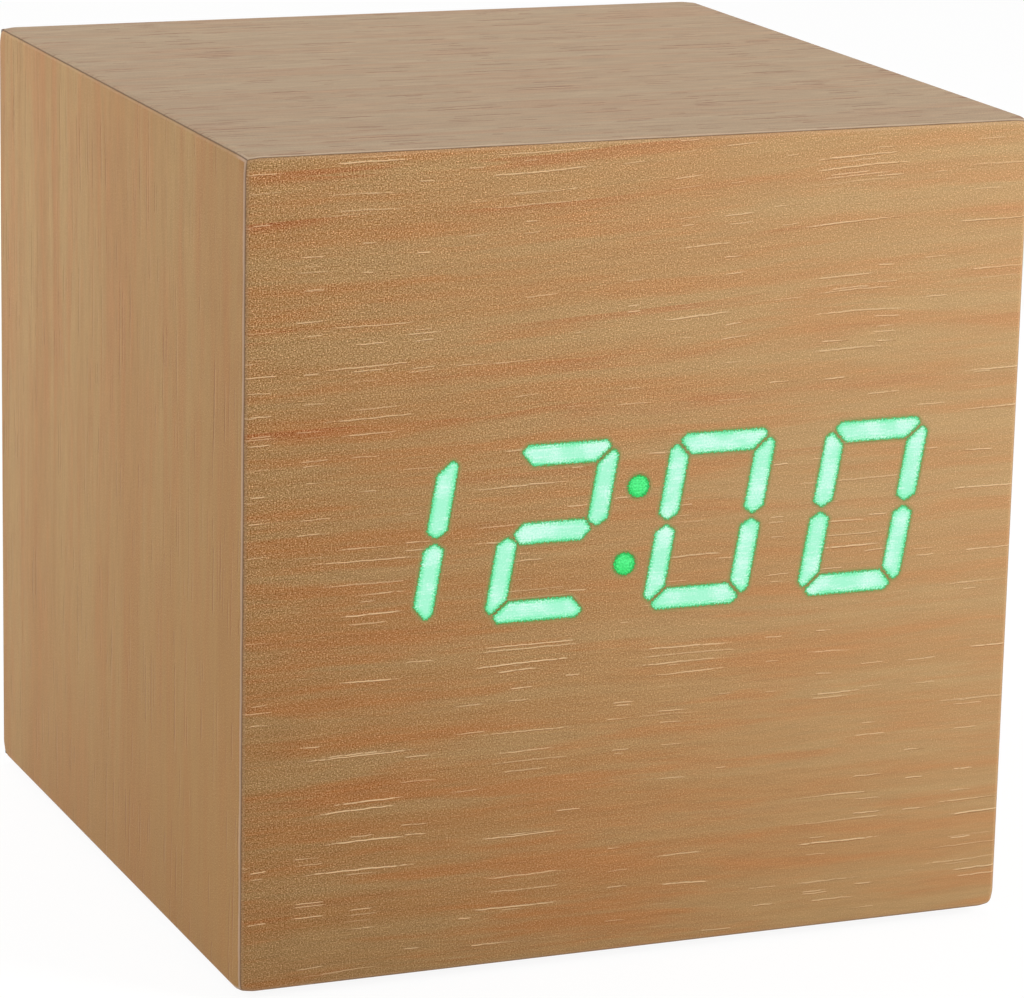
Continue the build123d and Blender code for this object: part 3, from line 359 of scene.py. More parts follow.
def wrapped(flat, depth):
    """A flat field as the outer or inner side of the sheet on the front, facing -Y.
    Place = inner box corner + radius * direction, or for the inner side a plane at that depth."""
    kept = flat.clip(-flat_half, flat_half)
    over = flat - kept
    if depth > 0:
        thin = edge_radius - depth
        return np.insert(kept + over * thin, 1, depth - case_half, axis=1)
    way = np.insert(over, 1, -1.0, axis=1)
    way /= np.linalg.norm(way, axis=1)[:, None]
    return eased(np.insert(kept, 1, -flat_half, axis=1) + edge_radius * way)


def rounding_turned(flat):
    """How far round the edge a point lies: 0 on the flat face, 1 at the mitre."""
    return np.abs(flat - flat.clip(-flat_half, flat_half)).max(axis=1)


# %% [markdown]
# The front sheet has an opening for every lit bar. Rings of points beside each opening carry a
# painted green glow in the wood close to the light. Farther off, the points are an even field.

# %% Build the front sheet with its openings
opening_grow, opening_step = 0.1, 0.25
ring_grows, ring_step = (0.2, 0.34, 0.56), 0.35
ring_room, field_room, field_step = 0.08, 0.65, 1.1
openings = all_loops(opening_grow, opening_step)
beside = np.concatenate([loop for grow in ring_grows for loop in all_loops(grow, ring_step)])
marks = spread(field_step)
field = np.stack(np.meshgrid(marks, marks), axis=2).reshape(-1, 2)


def clear_of_openings(points, room):
    """The points that are outside every opening and at least that far from its edge."""
    near = np.min([distance_to(points, loop) for loop in openings], axis=0)
    covered = np.any([inside(points, loop) for loop in openings], axis=0)
    return points[(near > room) & ~covered]


kept = [clear_of_openings(field, field_room), clear_of_openings(beside, ring_room)]
flat, faces = triangulated(np.concatenate(kept), openings)
centres = flat[faces].mean(axis=1)
faces = faces[~np.any([inside(centres, loop) for loop in openings], axis=0)]
points, faces = closed_shell(wrapped(flat, 0), wrapped(flat, veneer_thickness), faces)
front_sheet = make_piece(
    "front_sheet", points, faces, "clock_case", "front_veneer"
)
light_distance = np.min([distance_to(flat, loop) for loop in openings], axis=0)
keep_number(front_sheet, "light_distance", np.tile(light_distance, 2))
keep_number(front_sheet, "rounding", np.tile(rounding_turned(flat), 2))
print("front sheet triangles", len(faces))

# %% [markdown]
# The four side sheets are the same thing without openings, turned a quarter turn at a time. They
# stop short of the back, where a band of veneer covers the ends of the boards.

# %% Build the four side sheets
def quarter_turned(points, n):
    """The points turned clockwise, seen from the front, by n quarter turns about Y."""
    cosine, sine = (1, 0, -1, 0)[n], (0, 1, 0, -1)[n]
    x, y, z = points.T
    return np.stack([x * cosine + z * sine, y, z * cosine - x * sine], axis=1)


side_step = 2.0
marks_across, marks_deep = spread(side_step), spread(side_step, end_reach)
flat = np.stack(np.meshgrid(marks_across, marks_deep), axis=2).reshape(-1, 2)
flat, faces = triangulated(flat, [])
points, faces = closed_shell(wrapped(flat, 0), wrapped(flat, veneer_thickness), faces)
lying = np.stack([points[:, 0], points[:, 2], -points[:, 1]], axis=1)
turned_over = np.tile(rounding_turned(flat), 2)
side_sheets = {}
for n, side in enumerate(("top", "right", "bottom", "left")):
    made = quarter_turned(lying, n)
    side_sheets[side] = make_piece(
        side + "_sheet", made, faces, "clock_case", side + "_veneer"
    )
    keep_number(side_sheets[side], "rounding", turned_over)
print("side sheet triangles", len(faces))

# %% [markdown]
# The band over the back ends is a profile carried along each side: a flat inner edge, the flat
# back, and a quarter round. Both ends of a strip are mitred, so its length shrinks towards the
# inside as the profile does.

# %% Build the rear band
band_width, band_gap, strip_gap = 5.0, 0.03, 0.02


def band_strip():
    """Profile point k: (height, y). Along the strip: x = share * (height - gap), share -1 to 1."""
    angle = np.radians(np.linspace(0, 90, 9))[1:]
    arc = flat_half + edge_radius * np.stack([np.cos(angle), np.sin(angle)], axis=1)
    start_y = case_half - veneer_thickness + band_gap
    outer = math.sqrt(edge_radius**2 - (start_y - flat_half) ** 2) + flat_half
    inner = case_half - band_width
    arc = arc[arc[:, 1] > start_y]
    profile = np.array([(inner, start_y), (outer, start_y), *arc, (inner, case_half)])
    near_end = 1 - np.array([0.004, 0.009, 0.016, 0.025, 0.045])
    share = np.sort(np.concatenate([np.linspace(-1, 1, 25), near_end, -near_end]))
    height, y = profile.T
    x = share[:, None] * (height - strip_gap)
    rows = np.stack([x, np.broadcast_to(y, x.shape), np.broadcast_to(height, x.shape)], axis=2)
    count, last = len(profile), (len(share) - 1) * len(profile)
    here = np.arange(count)
    fan = np.stack([np.zeros(count - 2, int), here[1:-1], here[2:]], axis=1)
    faces = np.concatenate([between_rows(len(share), count), fan, fan[:, ::-1] + last])
    turned = np.tile(((height - flat_half) / edge_radius).clip(0, 1), len(share))
    return eased(rows.reshape(-1, 3)), faces, turned


points, faces, turned = band_strip()
points, faces = joined([(quarter_turned(points, n), faces) for n in range(4)])
rear_band = make_piece("rear_band", points, faces, "clock_case", "rear_edge_band")
keep_number(rear_band, "rounding", np.tile(turned, 4))
print("rear band triangles", len(faces))

# %% [markdown]
# ## Writing finishes
# A finish is a small network of nodes. Two helpers keep it readable. One wraps a value in the
# network, so that arithmetic on it adds the Math nodes. The other adds any other node from its
# type, its settings and the values of its sockets. Colours are written as a screen shows them.

# %% A value in a finish, and the finish itself
class Value:
    """A number in a finish. Arithmetic on it adds a Math node and gives the new number."""

    def __init__(self, finish, socket):
        self.finish = finish
        self.socket = socket

    def math(self, operation, *numbers):
        """The result of one Math node."""
        made = self.finish.node("Math", {"operation": operation}, dict(enumerate(numbers)))
        return Value(self.finish, made.outputs[0])

    def __add__(self, other):
        return self.math("ADD", self, other)

    __radd__ = __add__

    def __sub__(self, other):
        return self.math("SUBTRACT", self, other)

    def __rsub__(self, other):
        return self.math("SUBTRACT", other, self)

    def __mul__(self, other):
        return self.math("MULTIPLY", self, other)

    def __truediv__(self, other):
        return self.math("DIVIDE", self, other)

    def fraction(self):
        """What is left above the whole number."""
        return self.math("FRACT", self)

    def absolute(self):
        """The number without its sign."""
        return self.math("ABSOLUTE", self)

    def at_least(self, other):
        """The larger of the two."""
        return self.math("MAXIMUM", self, other)

    def between(self, low, high):
        """0 below low, 1 above high, and a smooth rise between. Works downwards too."""
        settings = {"interpolation_type": "SMOOTHSTEP"}
        made = self.finish.node("MapRange", settings, {0: self, 1: low, 2: high})
        return Value(self.finish, made.outputs[0])


def linear_light(colour):
    """A colour as seen on a screen, 0 to 255, as the amounts of light that a shader wants. The
    screen's curve: a straight piece near black, and a power of 2.4 above."""
    share = np.array(colour) / 255
    linear = np.where(share <= 0.04045, share / 12.92, ((share + 0.055) / 1.055) ** 2.4)
    return (*linear.tolist(), 1.0)


class Network:
    """The nodes of a material or of the sky."""

    def __init__(self, owner):
        owner.use_nodes = True
        self.tree = owner.node_tree
        self.tree.nodes.clear()

    def node(self, kind, settings=None, sockets=None):
        """Adds a node: its settings first, then a number, a screen colour or a link for each
        named socket."""
        made = self.tree.nodes.new("ShaderNode" + kind)
        for key, value in (settings or {}).items():
            setattr(made, key, value)
        for key, value in (sockets or {}).items():
            if isinstance(value, Value):
                self.tree.links.new(value.socket, made.inputs[key])
            elif isinstance(value, bpy.types.NodeSocket):
                self.tree.links.new(value, made.inputs[key])
            elif isinstance(value, tuple):
                made.inputs[key].default_value = linear_light(value)
            else:
                made.inputs[key].default_value = value
        return made


class Finish(Network):
    """A material while it is being written. Its place is in millimetres."""

    def __init__(self, name):
        self.material = bpy.data.materials.new(name)
        super().__init__(self.material)
        place = self.node("TexCoord").outputs["Object"]
        scaled = self.node("VectorMath", {"operation": "SCALE"}, {0: place, "Scale": 1 / MM})
        self.place = scaled.outputs[0]
        self.x, self.y, self.z = self.parts(self.place)

    def kept(self, name):
        """A number that was written on the mesh."""
        return Value(self, self.node("Attribute", {"attribute_name": name}).outputs["Fac"])

    def parts(self, place):
        """The three numbers of a place, or of a colour."""
        return [Value(self, part) for part in self.node("SeparateXYZ", {}, {0: place}).outputs]

    def join(self, x, y, z=0.0):
        """Three numbers as one place."""
        return self.node("CombineXYZ", {}, {0: x, 1: y, 2: z}).outputs[0]

    def stretched(self, x, y, z):
        """The place with each axis scaled, for a pattern that is longer one way."""
        return self.join(self.x * x, self.y * y, self.z * z)

    def noise(self, place, scale=1.0, detail=2.0, rough=0.5):
        """Cloudy noise from 0 to 1, about one cloud per 1 / scale millimetres."""
        sockets = {"Vector": place, "Scale": scale, "Detail": detail, "Roughness": rough}
        return Value(self, self.node("TexNoise", {}, sockets).outputs[0])

    def dashes(self, along, across, short, thin, odds, seed):
        """Short fine grooves: long narrow cells, a few of them picked, and in each a line through
        its seed. Gives the line's lit upper side and its shaded lower side."""
        wobble = self.noise(self.join(along * 0.9, across * 0.9, seed), 1.0, 1.0)
        lengthwise, crosswise = along * short, across * thin + wobble * 0.5
        settings = {"distance": "CHEBYCHEV", "voronoi_dimensions": "2D"}
        sockets = {"Vector": self.join(lengthwise, crosswise), "Scale": 1.0}
        cells = self.node("TexVoronoi", settings, sockets)
        choice, reach, strength = self.parts(cells.outputs["Color"])
        middle_along, middle_across, _ = self.parts(cells.outputs["Position"])
        picked = choice.between(odds, odds + 0.03)
        length = reach * 0.32 + 0.14
        away = (lengthwise - middle_along).absolute()
        rag = self.noise(self.join(along * 1.6, across * 6.0, seed), 1.0, 1.0)
        rag = rag.between(0.3, 0.6) * 0.7 + 0.3
        present = (away.between(length, length * 0.3) * rag).between(0.08, 0.6)
        present = present * picked * (strength * 0.6 + 0.4)
        above = crosswise - middle_across
        lit = above.between(-0.04, 0.08) * above.between(0.38, 0.24)
        shaded = above.between(0.04, -0.08) * above.between(-0.38, -0.24)
        return lit * present, shaded * present

    def blend(self, share, first, second, way="MIX"):
        """first where share is 0, second where it is 1, or both together in another way."""
        settings = {"data_type": "RGBA", "blend_type": way}
        return self.node("Mix", settings, {0: share, 6: first, 7: second}).outputs[2]

    def shade(self, colour, strength):
        """A colour times a number."""
        return self.blend(1.0, colour, self.join(strength, strength, strength), "MULTIPLY")

    def lighten(self, colour, amount):
        """Adds a pale warm light, or takes it away where the amount is below 0."""
        warm_light = self.join(amount * 0.62, amount * 0.44, amount * 0.28)
        return self.blend(1.0, colour, warm_light, "ADD")

    def bump(self, height, depth, strength=1.0):
        """A raised pattern: height is 0 to 1, and depth its size in millimetres."""
        sockets = {"Height": height, "Distance": depth * MM, "Strength": strength}
        return self.node("Bump", {}, sockets).outputs[0]

    def done(self, **sockets):
        """Ends the finish in one all-purpose shader and gives the material."""
        named = {key.replace("_", " "): value for key, value in sockets.items()}
        shader = self.node("BsdfPrincipled", {}, named)
        self.node("OutputMaterial", {}, {0: shader.outputs[0]})
        return self.material


# %% [markdown]
# ## The wood
# Each face is its own sheet of veneer, with the grain running its own way: level on the front and
# on the top, upright on the two sides. The same recipe serves all of them. Slow noise bends the
# grain lines, a second noise across them gives wide bands of tan, and saw-toothed growth rings
# give the orange lines with one sharp side. Stretched cells give the short pores, with painted
# light and shade on their two sides, and a fine speckle, partly painted glints, covers everything.
# Over this lie a slope of brightness that is partly painted light, a painted sheen towards one
# corner, and a painted highlight on the rounded edges near the front.

# %% The recipe for a sheet of veneer
def veneer(finish, look, along, across, seed):
    """Colour = band colour, then ring lines, fibres, a slope of brightness and a painted sheen,
    speckle with painted glints, pores with painted light and shade, and a painted highlight on the
    rounded edges, laid over one another. The seed moves every pattern to another part of the
    noise."""
    axes = {"x": finish.x, "y": finish.y, "z": finish.z - case_middle[2]}
    straight, level = axes[along], axes[across]
    u, v = straight + 37.0 * seed, level + 91.0 * seed

    def cloud(stretch, sideways, shift, detail=1.0, rough=0.5):
        """Noise that is drawn out along the grain."""
        return finish.noise(finish.join(u * stretch, sideways, seed + shift), 1.0, detail, rough)

    def slope(ends):
        """A plane over the sheet: it reaches the two numbers at the two edges."""
        return straight * (ends[0] / case_half) + level * (ends[1] / case_half)

    def laid(colour, layer, share):
        """The colour with one layer of the look over it."""
        return finish.blend(share * look[layer + "_share"], colour, look[layer])

    sway = (cloud(0.012, v * 0.025, 0.0) - 0.5) * look["sway"]
    ripple = (cloud(0.06, v * 0.16, 0.0) - 0.5) * 0.8
    line = v + sway + ripple - straight * level.between(-6.0, 16.0) * look["rise"]

    lower_right = (straight - level * 0.8) / case_half
    contrast = lower_right.between(-1.0, 1.4) * (1.0 - look["band_even"]) + look["band_even"]
    bands = cloud(0.012, line * look["band_pitch"], 3.0, 3.0, 0.62)
    colour = finish.blend(bands.between(0.38, 0.62) * contrast, look["base"], look["pale"])
    warm = cloud(0.045, line * look["warm_pitch"], 9.0, 3.0, 0.62).between(0.44, 0.66)
    colour = laid(colour, "warm", warm * contrast)

    fade = cloud(0.045, line * 0.3, 5.0, 2.0)
    saw = (line / look["ring_gap"] + (bands - 0.5) * 1.2).fraction()
    ring = saw.between(0.72, 0.97) * saw.between(1.0, 0.985) * fade.between(0.42, 0.62)
    ring = ring * (level.between(look["ring_from"], look["ring_from"] + 14.0) * 0.75 + 0.25)
    colour = laid(colour, "ring", ring)

    fibres = cloud(0.24, line * look["fibre_pitch"], 0.0, 3.0, 0.7)
    colour = finish.shade(colour, 1.0 + (fibres - 0.5) * look["fibre_share"])

    odds = look["pore_odds"] - (cloud(0.05, v * 0.11, 6.0) - 0.5) * 0.22
    pitch = look["pore_pitch"]
    long, short = look["pore_reach"]
    long_lit, long_shaded = finish.dashes(u, line, 1 / long, pitch, odds, seed)
    short_lit, short_shaded = finish.dashes(
        u, line, 1 / short, pitch * 1.3, odds + 0.045, seed + 4.0
    )
    pore, groove = long_lit.at_least(short_lit), long_shaded.at_least(short_shaded)

    # A straight slope of brightness over the sheet, partly the wood's own tone and partly painted
    # light. On the front it brightens towards the upper right, where the lamp at the right front
    # shines.
    colour = finish.shade(colour, 1.0 + slope(look["drift"]))
    # Painted sheen: a colour blended in along a slope. On the front it is pale and milky towards
    # the upper right. On the sides it is a deeper orange towards the front and bottom, where less
    # sheen lies.
    colour = laid(colour, "tint", slope(look["tint_way"]).between(-1.6, 2.0))

    # A fine speckle is added and taken away as pale light. It is partly the wood's own fine flecks
    # and partly painted glints, stronger in patches and towards the upper left.
    specks = cloud(8.0, v * 9.0, 0.0, 1.0, 0.8) - 0.5
    patch = cloud(0.05, v * 0.07, 2.0)
    even = 1.0 - straight * look["speck_fall"] + level * look["speck_fall"]
    amount = even.at_least(0.22) * (patch * 0.8 + 0.6) * look["speck"]
    bright = (specks - 0.06).at_least(0.0)
    colour = finish.lighten(colour, (specks + bright * 1.5) * amount)

    # Each pore line is painted in light and shade on its two sides. On the front it is a pale
    # painted highlight with painted shade below it. On the top and sides it is a dark line with a
    # pale painted highlight beside it.
    colour = laid(colour, "groove", groove)
    colour = laid(colour, "pore", pore)

    ragged = finish.kept("rounding") + (fibres - 0.5) * 0.5
    # Painted highlight on the rounded edges, strongest near the front. It is partly the paler cut
    # edge of the veneer and partly painted light.
    near_front = finish.y.between(3.0 - case_half, 0.4 - case_half)
    colour = laid(colour, "rim", ragged.between(0.1, 0.45) * (near_front * 0.8 + 0.2))
    colour = laid(colour, "seam", ragged.between(0.66, 0.92))
    return colour, fibres, specks, pore


def lacquered(finish, colour, fibres, specks, pore, **more):
    """Thin satin lacquer: pores are shallow grooves, and specks leave it a little matt."""
    height = specks * 0.35 + fibres * 0.5 - pore * 0.6
    return finish.done(
        Base_Color=colour,
        Roughness=0.5 + specks * 0.14,
        Specular_IOR_Level=0.12,
        Normal=finish.bump(height, 0.03, 0.5),
        **more,
    )


# In each look, the two pore colours paint the sides of each pore line in light and shade, and the
# sheen colour is painted sheen. Drift is a slope of brightness that is partly painted light, and
# the rim colour is a painted highlight on the rounded edges.
front_look = dict(
    base=(168, 123, 75), pale=(170, 134, 88), band_pitch=0.42, band_even=0.8,
    warm=(175, 115, 64), warm_share=0.9, warm_pitch=0.6,
    ring=(168, 96, 48), ring_gap=4.3, ring_share=0.75, ring_from=0.0,
    sway=4.0, rise=0.034, fibre_share=0.5, fibre_pitch=3.0,
    pore=(238, 208, 166), pore_share=0.8, pore_odds=0.885, pore_pitch=3.2, pore_reach=(14.0, 4.5),
    groove=(134, 90, 52), groove_share=0.5, speck=0.84, speck_fall=0.0125,
    drift=(0.175, 0.095), tint=(190, 162, 122), tint_way=(1.1, 0.5), tint_share=0.5,
    rim=(204, 168, 130), rim_share=0.25, seam=(96, 68, 44), seam_share=0.35,
)
finish = Finish("front_veneer")
colour, fibres, specks, pore = veneer(finish, front_look, "x", "z", 1.0)
# Painted glow: close to each opening the wood is blended towards olive green, standing in for the
# green light that spreads into the veneer beside the bars.
painted_glow = (finish.kept("light_distance") + specks * 0.2).between(0.3, 0.0)
colour = finish.blend(painted_glow * 0.6, colour, (152, 146, 92))
front_sheet.data.materials.append(lacquered(finish, colour, fibres, specks, pore))

# The top's paler, greyer colours are partly the wood's own tone and partly painted sheen, from the
# white sky it mirrors at a grazing angle. The bottom takes the same look.
top_look = front_look | dict(
    base=(163, 137, 107), pale=(167, 143, 113), band_pitch=0.3, band_even=1.0,
    warm=(165, 132, 101), ring_share=0.0, sway=3.0, rise=0.0, fibre_share=0.8, fibre_pitch=2.3,
    pore=(116, 64, 22), pore_share=1.0, pore_odds=0.74, pore_pitch=1.3, pore_reach=(11.0, 4.5),
    groove=(190, 164, 136), groove_share=0.3, speck=0.4, speck_fall=0.0,
    drift=(0.04, 0.02), tint_share=0.0, rim=(206, 184, 162), rim_share=0.6, seam_share=0.8,
)
side_look = front_look | dict(
    base=(168, 127, 81), pale=(173, 140, 93), band_pitch=0.13, band_even=1.0,
    warm=(175, 120, 77), warm_share=0.5, warm_pitch=0.45,
    ring=(150, 98, 58), ring_gap=5.2, ring_share=0.2, ring_from=-60.0,
    rise=0.0, fibre_share=0.46, fibre_pitch=1.6,
    pore=(116, 72, 30), pore_share=0.6, pore_odds=0.8, pore_pitch=1.7, pore_reach=(14.0, 6.0),
    groove=(202, 164, 122), groove_share=0.3, speck=0.4, speck_fall=0.0,
    drift=(-0.025, 0.045), tint=(152, 108, 46), tint_way=(-0.9, -0.8), tint_share=0.75,
    rim=(196, 170, 150), rim_share=0.7, seam_share=0.6,
)
sheets = (
    ("top", top_look, "x", "y", 2.0),
    ("bottom", top_look, "x", "y", 6.0),
    ("left", side_look, "z", "y", 3.0),
    ("right", side_look, "z", "y", 4.0),
)

# %% [markdown]
# The side sheets take the same recipe with a look of their own. The band round the back is four
# strips in one mesh, level and upright in turn, so it gets one finish for each direction.

# %% Dress the side sheets and the band round the back
def dress(material, *nodes):
    """Gives solid nodes a finish in place of the plain colour they came with."""
    for name in nodes:
        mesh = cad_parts[name].data
        mesh.materials.clear()
        mesh.materials.append(material)


for side, *grain in sheets:
    finish = Finish(side + "_veneer")
    side_sheets[side].data.materials.append(lacquered(finish, *veneer(finish, *grain)))
for name, along, across in (("rear_band_level", "x", "z"), ("rear_band_upright", "z", "x")):
    finish = Finish(name)
    grain = (side_look, along, across, 5.0)
    rear_band.data.materials.append(lacquered(finish, *veneer(finish, *grain)))
count = len(rear_band.data.polygons)
upright = np.arange(count) // (count // 4) % 2
rear_band.data.polygons.foreach_set("material_index", upright.astype(np.int32))
print("sheets dressed:", [sheet[0] for sheet in sheets])

# %% [markdown]
# ## The green light
# The light shines through the skin of the wood. A lit bar is brightest and almost white along its
# middle, and towards its edge the green thins out in fine specks until only wood is left. Fine
# pale streaks run across it, along the grain. The dots of the colon are smaller and a pure green.

# %% Finish of the lit bars and of the dots
def glow(name, rim_colour, end_colour, core_colour, streak_colour, rim_width, speckle):
    """Light times its strength over the wood. Strength grows with the distance from the edge."""
    finish = Finish(name)
    colour, *relief = veneer(finish, front_look, "x", "z", 1.0)
    edge = finish.kept("edge_distance")
    grain = finish.noise(finish.place, 6.5, 1.0, 0.7) - 0.5
    depth = edge + grain * 0.3
    streaks = finish.noise(finish.stretched(0.5, 1.0, 7.0), 1.0, 3.0, 0.6)
    clouds = finish.noise(finish.place, 0.45, 1.0)
    body = finish.blend(depth.between(rim_width * 2.2, rim_width * 7.0), end_colour, core_colour)
    body = finish.blend(clouds.between(0.62, 0.4) * 0.3, body, end_colour)
    pale = (streaks * 0.6 + clouds * 0.4 + grain * 0.5).between(0.44, 0.68)
    pale = pale * depth.between(rim_width, rim_width * 4.0)
    body = finish.blend(pale * 0.8, body, streak_colour)
    ragged = edge + grain * 0.5
    light = finish.blend(ragged.between(rim_width * 0.6, rim_width * 3.0), rim_colour, body)
    light = finish.shade(light, 1.0 + grain * speckle)
    lit = ragged.between(-0.06, rim_width * 1.6)
    light = finish.shade(light, lit)
    wood = finish.shade(colour, 1.0 - lit * 0.98)
    return lacquered(finish, wood, *relief, Emission_Color=light, Emission_Strength=1.0)


bar_colours = (40, 164, 78), (116, 240, 176), (180, 250, 222), (222, 254, 242)
dot_colours = (18, 142, 62), (44, 214, 104), (62, 232, 122), (92, 244, 146)
bar_glow = glow("lit_bar", *bar_colours, rim_width=0.09, speckle=0.12)
dot_glow = glow("lit_dot", *dot_colours, rim_width=0.1, speckle=0.7)
for name, piece in guides.items():
    piece.data.materials.append(dot_glow if name == "colon" else bar_glow)

# %% [markdown]
# ## Plastics, metals and rubber
# A moulded part is never one flat colour. The mould leaves a fine grain, the colour drifts a
# little, and the gloss is patchy. One recipe with a few sizes serves all plastics, and another
# serves the metals, whose drawing or rolling leaves fine lines one way.

# %% Recipes for moulded and for metal parts
def moulded(name, colour, rough, grain, depth, drift, coat=0.0, specular=0.5):
    """Colour drifts slowly, the mould's grain is a fine bump, and gloss varies in patches."""
    finish = Finish(name)
    slow = finish.noise(finish.place, 0.08, 2.0)
    fine = finish.noise(finish.place, grain, 2.0, 0.6)
    tone = 1.0 + (slow - 0.5) * drift + (fine - 0.5) * drift * 0.8
    return finish.done(
        Base_Color=finish.shade(colour, tone),
        Roughness=rough + (slow - 0.5) * 0.18 + (fine - 0.5) * 0.1,
        Specular_IOR_Level=specular,
        Coat_Weight=coat,
        Normal=finish.bump(fine, depth),
    )


def metal(name, colour, rough, lines="z"):
    """Polished metal with fine lines square to the axis that is given."""
    finish = Finish(name)
    place = finish.stretched(*(9.0 if axis == lines else 0.5 for axis in "xyz"))
    brushed = finish.noise(place, 1.0, 3.0, 0.6)
    slow = finish.noise(finish.place, 0.3, 2.0)
    tone = 1.0 + (slow - 0.5) * 0.14 + (brushed - 0.5) * 0.14
    return finish.done(
        Base_Color=finish.shade(colour, tone),
        Metallic=1.0,
        Roughness=rough + (brushed - 0.5) * 0.2,
        Normal=finish.bump(brushed, 0.006),
    )


# %% [markdown]
# The fibreboard behind the veneer shows only when the back is off: pressed fibres, flecked and
# dull. The circuit boards wear a green lacquer over copper tracks, which show as faint raised
# lines. Cell sleeves are a printed film: one plain colour with a paler band at the positive end.

# %% Fibreboard, circuit board and cell sleeve
def fibreboard():
    """Pressed fibres: stretched flecks in two directions over a slow drift."""
    finish = Finish("fibreboard")
    first = finish.noise(finish.stretched(0.8, 3.0, 3.0), 1.0, 4.0, 0.65)
    second = finish.noise(finish.stretched(3.0, 0.8, 3.0), 1.0, 4.0, 0.65)
    flecks = first * 0.5 + second * 0.5
    return finish.done(
        Base_Color=finish.blend(flecks.between(0.36, 0.64), (134, 98, 62), (186, 148, 104)),
        Roughness=0.85,
        Specular_IOR_Level=0.2,
        Normal=finish.bump(flecks, 0.12),
    )


def circuit_board():
    """Green lacquer over tracks: steps of noise on a coarse square pattern."""
    finish = Finish("circuit_board")
    sockets = {"Vector": finish.stretched(1.0, 0.2, 1.0), "Scale": 0.35}
    cells = finish.node("TexVoronoi", {"distance": "CHEBYCHEV"}, sockets)
    ridge = Value(finish, cells.outputs["Distance"])
    tracks = ridge.between(0.36, 0.4) * ridge.between(0.56, 0.5)
    fine = finish.noise(finish.place, 1.6, 2.0)
    green = finish.blend(tracks, (14, 74, 44), (36, 112, 66))
    return finish.done(
        Base_Color=finish.shade(green, 0.9 + fine * 0.2),
        Roughness=0.32 + fine * 0.12,
        Coat_Weight=0.3,
        Normal=finish.bump(tracks, 0.035),
    )


cell_pitch = 11.0
band_start, line_start, line_width = 13.2, 12.3, 0.4


def cell_film(middle_z):
    """A plain film. The band is at the other end on the middle cell, which is turned round."""
    finish = Finish("cell_film")
    offset = (finish.z - middle_z).absolute()
    turned = offset.between(cell_pitch / 2 + 0.2, cell_pitch / 2 - 0.2) * 2.0 - 1.0
    towards_plus = finish.x * turned
    band = towards_plus.between(band_start, band_start + 0.1)
    line_end = line_start + line_width
    line = towards_plus.between(line_start, line_start + 0.1)
    line = line * towards_plus.between(line_end + 0.1, line_end)
    fine = finish.noise(finish.stretched(0.4, 4.0, 4.0), 1.0, 2.0)
    colour = finish.blend(band + line, (38, 62, 96), (196, 202, 206))
    return finish.done(
        Base_Color=finish.shade(colour, 0.94 + fine * 0.12),
        Roughness=0.3 + fine * 0.1,
        Coat_Weight=0.4,
        Normal=finish.bump(fine, 0.01),
    )


low_cell, high_cell = (np.array(corner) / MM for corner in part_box("aaa_cell_2"))
film = cell_film((low_cell[2] + high_cell[2]) / 2)

# %% [markdown]
# Each remaining finish is a row of numbers for a recipe, and the solids that wear it. A row for
# mouldings: name, colour, roughness, grain, depth, drift, coat and specular level. A row for
# metals: name, colour, roughness and the axis square to its lines.

# %% Dress the rest of the clock
dress(fibreboard(), "front_board", "top_board", "left_board", "right_board", "bottom_board")
dress(circuit_board(), "main_board", "button_board")
dress(film, "cell_sleeves")
mouldings = (
    (("block_wood", (196, 162, 112), 0.8, 1.2, 0.05, 0.3, 0.0, 0.2), "corner_blocks"),
    (("foot_rubber", (44, 42, 40), 0.85, 3.0, 0.04, 0.2, 0.0, 0.25), "foot_pads"),
    (("dark_guide", (58, 70, 62), 0.35, 1.5, 0.01, 0.15), "unlit_light_guides"),
    (("white_plastic", (232, 230, 222), 0.55, 2.0, 0.01, 0.06), "reflector_block", "wire_plugs"),
    (("chip_yellow", (236, 208, 120), 0.4, 3.0, 0.01, 0.2), "segment_leds"),
    (
        ("chip_black", (30, 30, 32), 0.55, 4.0, 0.02, 0.3),
        "controller_chip", "clock_chip", "driver_transistors", "chip_resistors", "alarm_buzzer",
    ),
    (("capacitor_film", (28, 40, 74), 0.35, 1.0, 0.01, 0.1, 0.3), "smoothing_capacitors"),
    (("sensor_epoxy", (40, 34, 30), 0.3, 2.0, 0.02, 0.2, 0.5), "thermistor"),
    (
        ("holder_black", (34, 34, 36), 0.5, 2.0, 0.02, 0.2),
        "backup_cell_holder", "switch_bodies", "microphone_boot",
    ),
    (
        ("plunger_black", (26, 26, 27), 0.4, 2.5, 0.015, 0.2),
        "set_switch_plunger", "up_switch_plunger", "down_switch_plunger",
    ),
    (("red_wire", (176, 26, 24), 0.4, 1.2, 0.01, 0.15, 0.1), "battery_lead_red"),
    (("black_wire", (24, 24, 25), 0.4, 1.2, 0.01, 0.15, 0.1), "battery_lead_black"),
    (("grey_ribbon", (150, 152, 154), 0.45, 1.2, 0.02, 0.15), "ribbon_cable"),
)
metals = (
    (("tinned_metal", (206, 208, 210), 0.3), "chip_leads", "crystal_can", "microphone"),
    (
        ("bright_steel", (200, 202, 204), 0.26, "x"),
        "battery_contacts", "main_board_screws", "button_board_screws",
    ),
    (("dark_steel", (70, 70, 74), 0.34), "rear_cover_screws"),
    (("brass_pin", (214, 186, 116), 0.24, "y"), "power_socket_pin"),
    (
        ("cell_metal", (206, 208, 212), 0.3, "x"),
        "aaa_cell_1", "aaa_cell_2", "aaa_cell_3", "backup_cell",
    ),
)
for recipe, rows in ((moulded, mouldings), (metal, metals)):
    for sizes, *nodes in rows:
        dress(recipe(*sizes), *nodes)
case_black = moulded("case_black", (32, 32, 33), 0.5, 1.6, 0.14, 0.9)
button_black = moulded("button_black", (21, 21, 22), 0.36, 2.4, 0.03, 0.6)

